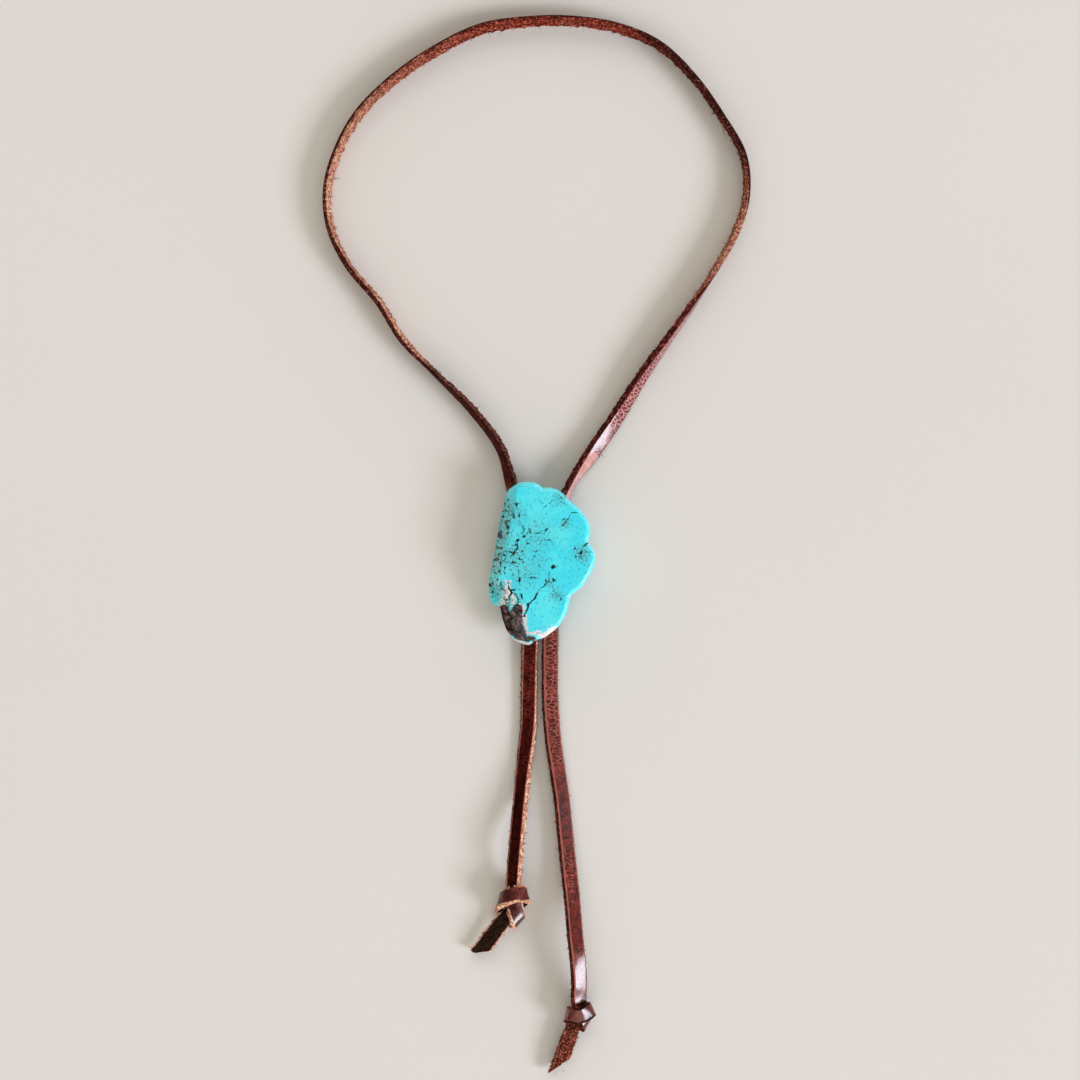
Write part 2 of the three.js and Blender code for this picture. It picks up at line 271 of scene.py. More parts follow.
RIGHT_KNOT = {
    "hollow_shade": (0.0143, -0.1426, 0.0034, 1.0),
    "at": (0.0128, -0.1442, 0.00012),
    "start": (-0.0009, 0.0052),
    # Painted shade: the knot's cut edges are dyed dark, like the upper edge of its front band,
    # which is turned from the lamp.
    "dye": 1.2,
    "pale": 0.1,
    "stain": (0.0, 0.0, 0.1),
    "legs": [Leg(*row) for row in (
        # heading, bend, length, low, high, arch, width, roll
        (-78, 6, 0.0030, 0.0041, 0.0041, 0, 0.0049, 28),
        (-72, 4, 0.0020, 0.0041, 0.0041, 0, 0.0052, 14),
        (-69, 0, 0.0016, 0.0041, 0.0036, 0, 0.0052, 28),
        (160, -15, 0.0024, 0.0008, 0.0008, 0, 0.0048, 0),
        (-2, 20, 0.0020, 0.0064, 0.0061, 0.0004, 0.0052, -14),
        (20, 8, 0.0017, 0.0061, 0.0052, 0, 0.0052, -12),
        (-149, 44, 0.0096, 0.00245, 0.00245, 0, 0.0044, 0),
        (-108, -4, 0.0165, 0.00245, 0.0012, 0, 0.0048, -8),
    )],
    "cut": {"point": (-0.0026, -0.0127), "heading": 214},
}

# ---- The leather's colouring -----------------------------------------------------------------

WORN_TO = 0.045                       # the lace's grain is cracked this near the stone
WORN_FADE = 0.030                     # and less so over this much further
SPOT_BORDER = 0.2                     # share of a spot's radius over which it fades out
EDGE_SHADE = 0.85                      # how dark the painted shade is on the cut edge turned from the lamp
EDGE_FROM = 0.0021                    # the cut edges lie further across the lace than this
TAIL_RIM = 0.6                        # how rubbed the tails' corners are
LOOP_DULL_TO = 0.076                  # the loop's grain has no gloss as far as this

# Where the loop's grain has changed, and where it carries painted shade and a painted reflection:
# x, y, radius, amount and reach, as paint_lace takes them.
LOOP_SPOTS = [
    (-0.0220, 0.0460, 0.0260, 0.60, 0.100),      # dark beside the stone
    (0.0530, 0.1480, 0.0300, 0.45, 0.0),         # painted shade on the edge and flesh, upper right, which are turned from the lamp
    (0.0345, 0.0612, 0.0245, -0.50, 0.500),      # faded and wrinkled
    (0.0110, 0.0262, 0.0125, -1.00, 0.500),      # faded smooth where it bends under the stone, partly a painted reflection of the pale floor
]

# ---- The stone's tables ----------------------------------------------------------------------

# The slab's outline, clockwise from its top left corner.
STONE_OUTLINE = [
    (-0.0106, 0.0230), (-0.0090, 0.0244), (-0.0074, 0.0254), (-0.0055, 0.0257),
    (-0.0032, 0.0257), (-0.0012, 0.0251), (0.0005, 0.0240), (0.0027, 0.0240),
    (0.0049, 0.0233), (0.0068, 0.0221), (0.0085, 0.0202), (0.0115, 0.0175),
    (0.0131, 0.0156), (0.0145, 0.0134), (0.0151, 0.0112), (0.0151, 0.0090),
    (0.0147, 0.0070), (0.0149, 0.0062), (0.0159, 0.0048), (0.0167, 0.0027),
    (0.0167, 0.0004), (0.0159, -0.0021), (0.0147, -0.0043), (0.0134, -0.0065),
    (0.0118, -0.0081), (0.0099, -0.0095), (0.0090, -0.0109), (0.0085, -0.0131),
    (0.0079, -0.0153), (0.0069, -0.0175), (0.0057, -0.0194), (0.0040, -0.0210),
    (0.0008, -0.0233), (-0.0016, -0.0241), (-0.0025, -0.0246), (-0.0034, -0.0254),
    (-0.0047, -0.0257), (-0.0062, -0.0253), (-0.0081, -0.0245), (-0.0096, -0.0231),
    (-0.0109, -0.0213), (-0.0118, -0.0191), (-0.0125, -0.0169), (-0.0129, -0.0147),
    (-0.0134, -0.0137), (-0.0146, -0.0132), (-0.0157, -0.0126), (-0.0163, -0.0107),
    (-0.0167, -0.0078), (-0.0165, -0.0054), (-0.0158, -0.0020), (-0.0151, 0.0014),
    (-0.0145, 0.0055), (-0.0137, 0.0098), (-0.0130, 0.0135), (-0.0125, 0.0162),
    (-0.0116, 0.0198),
]

# Slanting faces of the slab: a point on each, the way it faces in plan and its steepness.
STONE_FACETS = [
    # x, y, heading, steepness
    (-0.0120, 0.0030, 168, 56),
    (-0.0066, -0.0175, 206, 50),
]

# Dark matrix veins: width, how broken up (0 whole, 1 dotted), then the points that they join.
VEINS = [
    (0.00042, 0.15, [(0.0024, -0.0027), (0.0025, -0.0049), (0.0011, -0.0065),
                     (-0.0002, -0.0081), (-0.0019, -0.0105), (-0.0043, -0.0129)]),
    (0.00070, 0.15, [(-0.0043, -0.0129), (-0.0049, -0.0156), (-0.0055, -0.0162)]),
    (0.00030, 0.85, [(0.0024, -0.0052), (0.0030, -0.0071), (0.0036, -0.0090),
                     (0.0052, -0.0097), (0.0074, -0.0106), (0.0092, -0.0112)]),
    (0.00042, 0.25, [(0.0115, 0.0159), (0.0099, 0.0161), (0.0084, 0.0146),
                     (0.0077, 0.0134), (0.0070, 0.0119)]),
    (0.00030, 0.90, [(0.0080, 0.0213), (0.0058, 0.0203), (0.0036, 0.0194),
                     (0.0021, 0.0184), (0.0005, 0.0175)]),
    (0.00036, 0.45, [(0.0147, 0.0068), (0.0134, 0.0058), (0.0125, 0.0049),
                     (0.0122, 0.0027), (0.0115, 0.0011)]),
    (0.00040, 0.60, [(-0.0152, 0.0013), (-0.0138, 0.0015), (-0.0133, 0.0030),
                     (-0.0111, 0.0041), (-0.0098, 0.0038), (-0.0088, 0.0033),
                     (-0.0079, 0.0041), (-0.0073, 0.0073)]),
    (0.00030, 0.80, [(-0.0079, 0.0067), (-0.0062, 0.0082), (-0.0040, 0.0103)]),
    (0.00030, 0.30, [(-0.0121, 0.0007), (-0.0101, 0.0003), (-0.0087, -0.0005),
                     (-0.0078, -0.0009)]),
    (0.00026, 0.50, [(-0.0111, 0.0041), (-0.0116, 0.0013), (-0.0121, 0.0007)]),
    (0.00040, 0.50, [(-0.0140, 0.0073), (-0.0120, 0.0077), (-0.0109, 0.0088)]),
    (0.00036, 0.40, [(-0.0104, 0.0177), (-0.0098, 0.0164), (-0.0087, 0.0156),
                     (-0.0086, 0.0142)]),
    (0.00030, 0.40, [(-0.0078, 0.0176), (-0.0076, 0.0187), (-0.0070, 0.0190)]),
    (0.00042, 0.45, [(-0.0104, -0.0057), (-0.0100, -0.0080), (-0.0095, -0.0091)]),
    (0.00050, 0.60, [(-0.0095, -0.0094), (-0.0080, -0.0097), (-0.0062, -0.0093)]),
    (0.00048, 0.55, [(-0.0080, -0.0096), (-0.0074, -0.0104), (-0.0070, -0.0119),
                     (-0.0080, -0.0130)]),
    (0.00045, 0.40, [(-0.0062, -0.0093), (-0.0060, -0.0109), (-0.0071, -0.0113)]),
    (0.00042, 0.60, [(-0.0095, -0.0093), (-0.0104, -0.0106), (-0.0099, -0.0119),
                     (-0.0112, -0.0127)]),
]

# A few single dark specks: x, y and radius.
SPECKS = [
    (0.0036, -0.0011, 0.00060), (-0.0004, 0.0095, 0.00036), (-0.0112, 0.0123, 0.00050),
    (-0.0106, 0.0113, 0.00065), (-0.0106, 0.0095, 0.00042), (-0.0118, 0.0148, 0.00042),
    (-0.0103, 0.0200, 0.00036), (-0.0104, 0.0178, 0.00036), (-0.0138, 0.0094, 0.00055),
    (-0.0127, 0.0088, 0.00045), (-0.0139, 0.0014, 0.00070), (-0.0133, 0.0030, 0.00045),
    (-0.0037, 0.0098, 0.00030), (-0.0075, 0.0071, 0.00036), (-0.0135, -0.0027, 0.00036),
    (-0.0153, -0.0062, 0.00040),
]

# The rough brown patch of bare matrix, and the lines along which white chips show.
MATRIX_PATCH = [
    (-0.0135, -0.0138), (-0.0118, -0.0128), (-0.0106, -0.0136), (-0.0100, -0.0150),
    (-0.0092, -0.0146), (-0.0084, -0.0127), (-0.0073, -0.0124), (-0.0063, -0.0133),
    (-0.0060, -0.0150), (-0.0062, -0.0182), (-0.0056, -0.0206), (-0.0046, -0.0229),
    (-0.0026, -0.0230), (-0.0012, -0.0236), (-0.0024, -0.0242), (-0.0044, -0.0248),
    (-0.0066, -0.0243), (-0.0086, -0.0236), (-0.0104, -0.0223), (-0.0140, -0.0190),
]
CHALK_LINES = [
    # radius, points
    (0.00070, [(-0.0056, -0.0164), (-0.0057, -0.0184), (-0.0051, -0.0204), (-0.0043, -0.0221),
               (-0.0026, -0.0220), (-0.0007, -0.0218)]),
    (0.00100, [(-0.0006, -0.0226), (0.0012, -0.0224), (0.0036, -0.0208)]),
    (0.00110, [(-0.0105, -0.0062), (-0.0108, -0.0082), (-0.0110, -0.0094)]),
    (0.00100, [(-0.0112, -0.0104), (-0.0120, -0.0122), (-0.0128, -0.0136)]),
    (0.00070, [(-0.0090, -0.0102), (-0.0082, -0.0110), (-0.0090, -0.0120)]),
    (0.00060, [(-0.0062, -0.0132), (-0.0057, -0.0148)]),
    (0.00060, [(-0.0088, -0.0242), (-0.0062, -0.0251), (-0.0036, -0.0255)]),
]
# Where the fine black web is dense: x, y, radius and strength.
WEB_SPOTS = [
    (-0.0128, 0.0090, 0.0044, 1.0), (-0.0118, 0.0175, 0.0036, 0.8),
    (-0.0122, 0.0130, 0.0030, 1.0), (-0.0145, 0.0045, 0.0036, 1.0),
    (-0.0140, 0.0000, 0.0040, 1.0), (-0.0152, -0.0080, 0.0036, 0.9),
    (-0.0092, 0.0030, 0.0054, 0.80), (-0.0080, 0.0155, 0.0038, 0.65),
    (-0.0086, -0.0118, 0.0030, 0.8), (-0.0112, -0.0085, 0.0030, 0.75),
    (0.0126, 0.0032, 0.0030, 0.85), (0.0074, 0.0124, 0.0018, 0.8),
    (-0.0020, 0.0085, 0.0070, 0.40), (-0.0060, -0.0030, 0.0060, 0.45),
    (0.0045, -0.0098, 0.0024, 0.6), (0.0060, 0.0205, 0.0026, 0.6),
    (0.0026, -0.0060, 0.0020, 0.7), (-0.0020, 0.0000, 0.0050, 0.35),
]

# ---- Small helpers ---------------------------------------------------------------------------

UP = Vector((0, 0, 1))


def direction(degrees):
    angle = math.radians(degrees)
    return Vector((math.cos(angle), math.sin(angle), 0))


def srgb(red, green, blue):
    """A screen colour of 0 to 255 as a linear RGBA colour."""
    def linear(channel):
        c = channel / 255
        return c / 12.92 if c <= 0.04045 else ((c + 0.055) / 1.055) ** 2.4
    return (linear(red), linear(green), linear(blue), 1.0)


def lerp(a, b, t):
    return a + (b - a) * t


def smoothstep(low, high, value):
    t = min(max((value - low) / (high - low), 0), 1)
    return t * t * (3 - 2 * t)


def unit(rows):
    return rows / np.linalg.norm(rows, axis=-1, keepdims=True)


def square_to(rows, travel):
    """The unit directions square to the travel that are nearest to the rows."""
    return unit(rows - travel * np.sum(rows * travel, axis=-1, keepdims=True))


def rough(point, wavelength, seed=0.0):
    """Perlin noise of about -1 to 1 whose bumps are about a wavelength wide."""
    return noise.noise(Vector(point) / wavelength + Vector((seed, 3.7 * seed, -seed)))


def waves(size, point):
    """Unevenness at a point, from a height and a wavelength."""
    height, wavelength = size
    return height * rough(point, wavelength)


def new_piece(name, verts, faces, materials, material_of=None, body="root"):
    """A smooth piece that rides on a body. material_of is each face's material."""
    mesh = bpy.data.meshes.new(name)
    mesh.from_pydata([tuple(v) for v in verts], [], faces)
    for material in materials:
        mesh.materials.append(material)
    if material_of is not None:
        mesh.polygons.foreach_set("material_index", material_of)
    mesh.polygons.foreach_set("use_smooth", [True] * len(faces))
    piece = bpy.data.objects.new(name, mesh)
    bpy.context.scene.collection.objects.link(piece)
    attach(piece, body)
    return piece


def add_tables(piece, **tables):
    """Numbers for each vertex, which the materials read by their names."""
    for name, values in tables.items():
        values = np.asarray(values, dtype=np.float32)
        kind, key = ("FLOAT_VECTOR", "vector") if values.ndim == 2 else ("FLOAT", "value")
        table = piece.data.attributes.new(name, kind, "POINT")
        table.data.foreach_set(key, values.ravel())


# ---- Camera ----------------------------------------------------------------------------------

def make_camera():
    data = bpy.data.cameras.new("camera")
    data.angle = CAMERA_FIELD
    camera = bpy.data.objects.new("camera", data)
    camera.location = CAMERA_PLACE
    bpy.context.scene.collection.objects.link(camera)
    bpy.context.scene.camera = camera


# ---- The lace's line -------------------------------------------------------------------------

def centripetal(rows, spacing):
    """Points along a centripetal Catmull-Rom curve through rows of numbers, x y z first."""
    rows = [np.array(row, dtype=float) for row in rows]
    rows = [2 * rows[0] - rows[1], *rows, 2 * rows[-1] - rows[-2]]
    out = []
    for a, b, c, d in zip(rows, rows[1:], rows[2:], rows[3:]):
        spans = [max(math.sqrt(np.linalg.norm((q - p)[:3])), 1e-6)
                 for p, q in ((a, b), (b, c), (c, d))]
        t0, t1 = 0, spans[0]
        t2, t3 = t1 + spans[1], t1 + spans[1] + spans[2]
        count = max(int(np.linalg.norm((c - b)[:3]) / spacing), 1)
        for k in range(count):
            t = lerp(t1, t2, k / count)
            ab = (t1 - t) / (t1 - t0) * a + (t - t0) / (t1 - t0) * b
            bc = (t2 - t) / (t2 - t1) * b + (t - t1) / (t2 - t1) * c
            cd = (t3 - t) / (t3 - t2) * c + (t - t2) / (t3 - t2) * d
            abc = (t2 - t) / (t2 - t0) * ab + (t - t0) / (t2 - t0) * bc
            bcd = (t3 - t) / (t3 - t1) * bc + (t - t1) / (t3 - t1) * cd
            out.append((t2 - t) / (t2 - t1) * abc + (t - t1) / (t2 - t1) * bcd)
    out.append(rows[-2])
    return np.array(out)


def half_height(lean):
    """Half the height of a lace that leans by so many degrees."""
    angle = math.radians(lean)
    s, c = abs(math.sin(angle)), abs(math.cos(angle))
    w, t = LACE_WIDTH / 2, LACE_THICKNESS / 2
    return max(w * s + (t - LACE_CORNER) * c, (w - LACE_CORNER) * s + t * c)


class Line:
    """The lace's middle line, with its grain directions, widths, thicknesses and colouring.

    What comes after the grain directions is either a value for each place or one for all."""

    def __init__(self, places, faces, widths, thicknesses, dyes, pales):
        self.places = places
        steps = np.linalg.norm(np.diff(places, axis=0), axis=1)
        self.along = np.concatenate([[0], np.cumsum(steps)])
        self.length = float(self.along[-1])
        self.faces = faces
        self.widths, self.thicknesses, self.dyes, self.pales = (
            np.broadcast_to(table, len(places)) for table in (widths, thicknesses, dyes, pales))

    def at(self, s, table):
        """Rows of one of the tables at the distances s along the line."""
        if table.ndim == 1:
            return np.interp(s, self.along, table)
        return np.stack([np.interp(s, self.along, table[:, k]) for k in range(3)], axis=-1)

    def frames(self, s):
        """Place, travel, grain direction and across direction at the distances s."""
        reach = 0.0002
        ahead = self.at(np.minimum(s + reach, self.length), self.places)
        behind = self.at(np.maximum(s - reach, 0), self.places)
        travel = unit(ahead - behind)
        face = square_to(self.at(s, self.faces), travel)
        return self.at(s, self.places), travel, face, np.cross(travel, face)

    def half_sizes(self, s):
        """Half the lace's width and half its thickness at the distances s."""
        return self.at(s, self.widths) / 2, self.at(s, self.thicknesses) / 2


def table_line(rows, ahead=()):
    """The line of a lace on the table from a route's rows, and from rows of its places ahead."""
    table = [(x, y, half_height(lean) + TABLE_GAP + rise, lean, dye, pale)
             for x, y, rise, lean, dye, pale in rows]
    dense = centripetal([*table, *ahead], LINE_STEP)
    travel = np.gradient(dense[:, :3], axis=0)
    travel[:, 2] = 0
    left = np.cross((0, 0, 1), unit(travel))
    lean = np.radians(dense[:, 3:4])
    faces = np.cos(lean) * np.array([[0, 0, 1.0]]) + np.sin(lean) * left
    return Line(dense[:, :3], faces, LACE_WIDTH, LACE_THICKNESS, dense[:, 4], dense[:, 5])


def tail_line(tail, plan):
    """The line of a tail, which goes on into its knot and narrows on the way there."""
    first = plan["legs"][0]
    start = Vector((*plan["start"], first.low)) + Vector(plan["at"])
    ahead = [(*(start + direction(first.heading) * reach), first.roll, plan["dye"], plan["pale"])
             for reach in (0.25 * KNOT_ENTRY, KNOT_ENTRY)]
    line = table_line([(*row, tail["dye"], tail["pale"]) for row in tail["route"]], ahead)
    squeeze = np.clip(1 - (line.length - line.along) / KNOT_TAPER, 0, 1) ** 2
    line.widths = lerp(LACE_WIDTH, first.width, squeeze)
    line.thicknesses = lerp(LACE_THICKNESS, KNOT_THICKNESS, squeeze)
    return line


def smoothed(table, passes):
    """Evens out a table of numbers, leaving its first and last rows where they are."""
    table = np.array(table, dtype=float)
    for _ in range(passes):
        middle = (table[:-2] + table[2:]) / 2
        table[1:-1] = lerp(middle, table[1:-1], 0.5)
    return table


class Walk:
    """A folded lace as it is laid, leg by leg and fold by fold."""

    def __init__(self, at):
        self.at = at
        self.grain = 1                          # +1 while the grain side is up
        self.places, self.faces, self.widths, self.twists = [], [], [], []

    def put(self, place, face, width, twist):
        self.places.append(place)
        self.faces.append(face)
        self.widths.append(width)
        self.twists.append(twist)

    def leg(self, leg):
        count = int(leg.length / KNOT_STEP)
        for k in range(count):
            lift = 4 * leg.arch * k / count * (1 - k / count)
            self.put(self.at + UP * lift, UP * self.grain, leg.width, -self.grain * leg.roll)
            heading = leg.heading + leg.bend * (k + 0.5) / count
            self.at += direction(heading) * (leg.length / count)
            self.at.z = lerp(leg.low, leg.high, (k + 1) / count)

    def fold(self, leg, after):
        """Winds half a turn of a helix on the crease, which lies across the bisector."""
        radius = abs(after.low - leg.high) / 2
        inward, outward = direction(leg.heading + leg.bend), direction(after.heading)
        normal = (inward - outward).normalized()
        along = inward - normal * inward.dot(normal)
        slip = along.length / inward.dot(normal)
        along.normalize()
        base = self.at.copy()
        turns = int(math.pi * radius * math.hypot(1, slip) / KNOT_STEP)
        for k in range(turns):
            turn = math.pi * k / turns
            radial = normal * math.sin(turn) + UP * (self.grain * math.cos(turn))
            place = (base - UP * (self.grain * radius) + radial * radius
                     + along * (radius * turn * slip))
            twist = lerp(-self.grain * leg.roll, self.grain * after.roll, k / turns)
            self.put(place, radial, lerp(leg.width, after.width, k / turns), twist)
        self.at = base + along * (radius * math.pi * slip)
        self.at.z = after.low
        self.grain = -self.grain


def knot_line(plan):
    """The line of a knot's folded lace."""
    legs = plan["legs"]
    last = legs[-1]
    walk = Walk(Vector((*plan["start"], legs[0].low)))
    for leg, after in zip(legs, legs[1:]):
        walk.leg(leg)
        if abs(after.low - leg.high) < KNOT_THICKNESS / 2:
            walk.at.z = after.low
        else:
            walk.fold(leg, after)
    walk.leg(last)
    walk.put(walk.at.copy(), UP * walk.grain, last.width, -walk.grain * last.roll)
    offset = Vector(plan["at"])
    places = smoothed([place + offset for place in walk.places], KNOT_SOFTNESS)
    travel = unit(np.gradient(places, axis=0))
    faces = square_to(smoothed(walk.faces, KNOT_SOFTNESS), travel)
    twist = np.radians(smoothed(walk.twists, TWIST_SOFTNESS))[:, None]
    faces = faces * np.cos(twist) + np.cross(travel, faces) * np.sin(twist)
    return Line(places, faces, smoothed(walk.widths, TWIST_SOFTNESS), KNOT_THICKNESS,
                plan["dye"], plan["pale"])


def tip_reach(plan, line, start):
    """Says how far along the line the slanting cut meets each share of the lace's width."""
    s = np.arange(start, line.length, 0.0001)
    place, _, _, across = line.frames(s)
    normal = np.array(direction(plan["cut"]["heading"] + 90))
    target = np.array((*plan["cut"]["point"], 0)) + np.array(plan["at"])

    def meets(share):
        lateral = share * line.at(s, line.widths) / 2
        beyond = np.sum((place + across * lateral[:, None] - target) * normal, axis=1)
        crossing = np.nonzero(beyond > 0)[0]
        return s[crossing[0]] if len(crossing) else line.length
    return meets


# ---- The lace's body -------------------------------------------------------------------------

GRAIN, EDGE, FLESH, DULL_GRAIN = range(4)       # the lace's sides, in its materials' order


def section_columns():
    """The lace's outline: a side, a share across the lace and a share down its cut edge."""
    across = [-1 + 2 * k / GRAIN_COLUMNS for k in range(GRAIN_COLUMNS)]
    back = [1 - 2 * k / FLESH_COLUMNS for k in range(FLESH_COLUMNS)]
    edge = CORNER_COLUMNS + EDGE_COLUMNS
    down = [k / edge for k in range(edge)]
    return ([(GRAIN, share, 0) for share in across] + [(EDGE, 1, drop) for drop in down]
            + [(FLESH, share, 0) for share in back] + [(EDGE, -1, 1 - drop) for drop in down])


def column_place(column, half_width, half_thickness):
    """How far a column lies towards the grain side and across the lace."""
    side, share, drop = column
    inner = half_width - LACE_CORNER
    if side == GRAIN:
        return half_thickness * (1 - GRAIN_CROWN * share * share), share * inner
    if side == FLESH:
        return -half_thickness, share * half_width
    corner_share = CORNER_COLUMNS / (CORNER_COLUMNS + EDGE_COLUMNS)
    top = half_thickness * (1 - GRAIN_CROWN)
    if drop <= corner_share:
        turn = drop / corner_share * math.pi / 2
        height = top - LACE_CORNER * (1 - math.cos(turn))
        return height, share * (inner + LACE_CORNER * math.sin(turn))
    down = (drop - corner_share) / (1 - corner_share)
    bulge = EDGE_BULGE * math.sin(math.pi * down)
    return lerp(top - LACE_CORNER, -half_thickness, down), share * (half_width + bulge)


def nap_height(s, aside, seed):
    """How far the rough flesh side stands out at a place on it."""
    return waves(NAP_CLUMPS, (s, aside, seed)) + waves(NAP_TUFTS, (s, aside, -seed))


def edge_reach(s, share, drop, ragged, seed):
    """How far a cut edge stands out: it waves a little, and frays towards the flesh side."""
    fray = (waves(FRAY_CLUMPS, (s + seed, drop * 0.0010, share))
            + waves(FRAY_TUFTS, (s, drop * 0.0014, seed)))
    wave = waves(EDGE_WAVES, (s + seed, share * 0.01, 0))
    return wave + ragged * fray * (0.15 + 0.85 * drop ** 2)


def column_surface(column, s, half_width, half_thickness, ragged, seed):
    """A column's heights and distances aside, with the lace's unevenness."""
    side, share, drop = column
    height, aside = column_place(column, half_width, half_thickness)
    for k, here in enumerate(s):
        if side == GRAIN:
            height[k] += waves(GRAIN_WAVES, (here, aside[k], seed))
        elif side == FLESH:
            height[k] -= ragged * nap_height(here, aside[k], seed)
        else:
            aside[k] += share * edge_reach(here, share, drop, ragged, seed)
            nap = nap_height(here, share * half_width[k], seed)
            height[k] -= ragged * drop ** 3 * nap
    return height, aside


class LaceMesh:
    """A stretch of lace: vertices with their lace coordinates, and faces with their sides.

    A vertex's lace coordinates are how far it is along the lace, across it and towards its grain
    side, all in millimetres, then its dye, which on the tails and knots also paints light and
    shade on the cut edges, and how pale it is."""

    def __init__(self, line, start, end, step, ragged=1.0, seed=0.0, tip=None):
        """tip gives where the free tip starts, and how far each column of it reaches."""
        columns = section_columns()
        rows = max(int((end - start) / step), 2)
        verts = np.zeros((rows + 1, len(columns), 3))
        coordinates = np.zeros((rows + 1, len(columns), 5))
        for j, column in enumerate(columns):
            s = np.linspace(start, end, rows + 1)
            if tip:
                tip_start, reach_of = tip
                stretch = (reach_of(column[1]) - tip_start) / (end - tip_start)
                s = np.where(s > tip_start, tip_start + (s - tip_start) * stretch, s)
            place, _, face, across = line.frames(s)
            height, aside = column_surface(column, s, *line.half_sizes(s), ragged, seed)
            verts[:, j] = place + face * height[:, None] + across * aside[:, None]
            coordinates[:, j] = np.stack([s / MM, aside / MM, height / MM,
                                          line.at(s, line.dyes), line.at(s, line.pales)], axis=-1)
        verts[..., 2] = np.maximum(verts[..., 2], TABLE_SKIN)
        self.line = line
        self.verts = list(verts.reshape(-1, 3))
        self.coordinates = list(coordinates.reshape(-1, 5))
        self.faces, self.sides = [], []
        self.join_rows([column[0] for column in columns], rows)
        self.close_ends(len(columns), rows)

    def join_rows(self, sides, rows):
        m = len(sides)
        for k in range(rows):
            for j in range(m):
                j2 = (j + 1) % m
                self.faces.append((k * m + j, k * m + j2, (k + 1) * m + j2, (k + 1) * m + j))
                self.sides.append(EDGE if EDGE in (sides[j], sides[j2]) else sides[j])

    def close_ends(self, m, rows):
        """Closes each end with a fan round a middle point."""
        for row, flip in ((0, False), (rows, True)):
            ring = list(range(row * m, row * m + m))
            centre = len(self.verts)
            self.verts.append(np.mean([self.verts[k] for k in ring], axis=0))
            self.coordinates.append(np.mean([self.coordinates[k] for k in ring], axis=0))
            for a, b in zip(ring, ring[1:] + ring[:1]):
                self.faces.append((a, b, centre) if flip else (b, a, centre))
                self.sides.append(EDGE)

    def add_fibres(self, start, end, per_mm, seed, reach_of=None):
        """Loose fibres that stand out of the cut edges and, fewer, out of the flesh side."""
        draw = random.Random(seed)
        for _ in range(int((end - start) / MM * per_mm)):
            s = draw.uniform(start, end)
            sign = draw.choice((-1, 1))
            if reach_of and s > reach_of(sign):
                continue
            place, travel, face, across = (v[0] for v in self.line.frames(np.array([s])))
            half_width, half_thickness = self.line.half_sizes(s)
            if draw.random() < FLESH_FIBRES:
                aside = half_width * draw.uniform(-1, 1)
                root = place - face * (half_thickness - FIBRE_SUNK) + across * aside
                aim = (-face + travel * draw.gauss(0, FIBRE_SPREAD)
                       + across * draw.gauss(0, FIBRE_SPREAD))
            else:
                height = draw.uniform(-1.0, 0.45) * half_thickness
                root = place + face * height + across * sign * (half_width - FIBRE_SUNK)
                aim = (across * sign + travel * draw.gauss(0, FIBRE_SPREAD)
                       + face * draw.gauss(-0.1, 0.6))
            bend = travel * draw.gauss(0, FIBRE_CURL) + face * draw.gauss(0, FIBRE_CURL)
            length = FIBRE_LONGEST * draw.random() ** 1.8 + FIBRE_SHORTEST
            radius = draw.uniform(*FIBRE_RADIUS)
            dye = RAW_FIBRE if draw.random() < RAW_FIBRES else DYED_FIBRE
            self.grow_fibre(root, unit(aim) * length, bend * length, radius, travel, face)
            place_mm = (s / MM, sign * half_width / MM, 0, dye, draw.uniform(0, 0.8))
            self.coordinates += [place_mm] * (FIBRE_SIDES * FIBRE_RINGS + 1)

    def grow_fibre(self, root, aim, bend, radius, travel, face):
        """A thin spike from its root along aim, bending off by bend, above the table."""
        first = len(self.verts)
        tip = first + FIBRE_SIDES * FIBRE_RINGS
        for ring in range(FIBRE_RINGS):
            t = ring / FIBRE_RINGS
            centre = root + aim * t + bend * (t * t)
            centre[2] = max(centre[2], radius)
            for side in range(FIBRE_SIDES):
                turn = 2 * math.pi * side / FIBRE_SIDES
                outward = travel * math.cos(turn) + face * math.sin(turn)
                self.verts.append(centre + outward * (radius * (1 - 0.7 * t)))
                a = first + ring * FIBRE_SIDES + side
                b = first + ring * FIBRE_SIDES + (side + 1) % FIBRE_SIDES
                last = ring + 1 == FIBRE_RINGS
                self.faces.append((a, b, tip) if last
                                  else (a, b, b + FIBRE_SIDES, a + FIBRE_SIDES))
        end_point = root + aim + bend
        end_point[2] = max(end_point[2], radius)
        self.verts.append(end_point)
        self.faces.append(tuple(first + side for side in reversed(range(FIBRE_SIDES))))
        self.sides += [EDGE] * (FIBRE_SIDES * FIBRE_RINGS + 1)


# ---- Materials -------------------------------------------------------------------------------

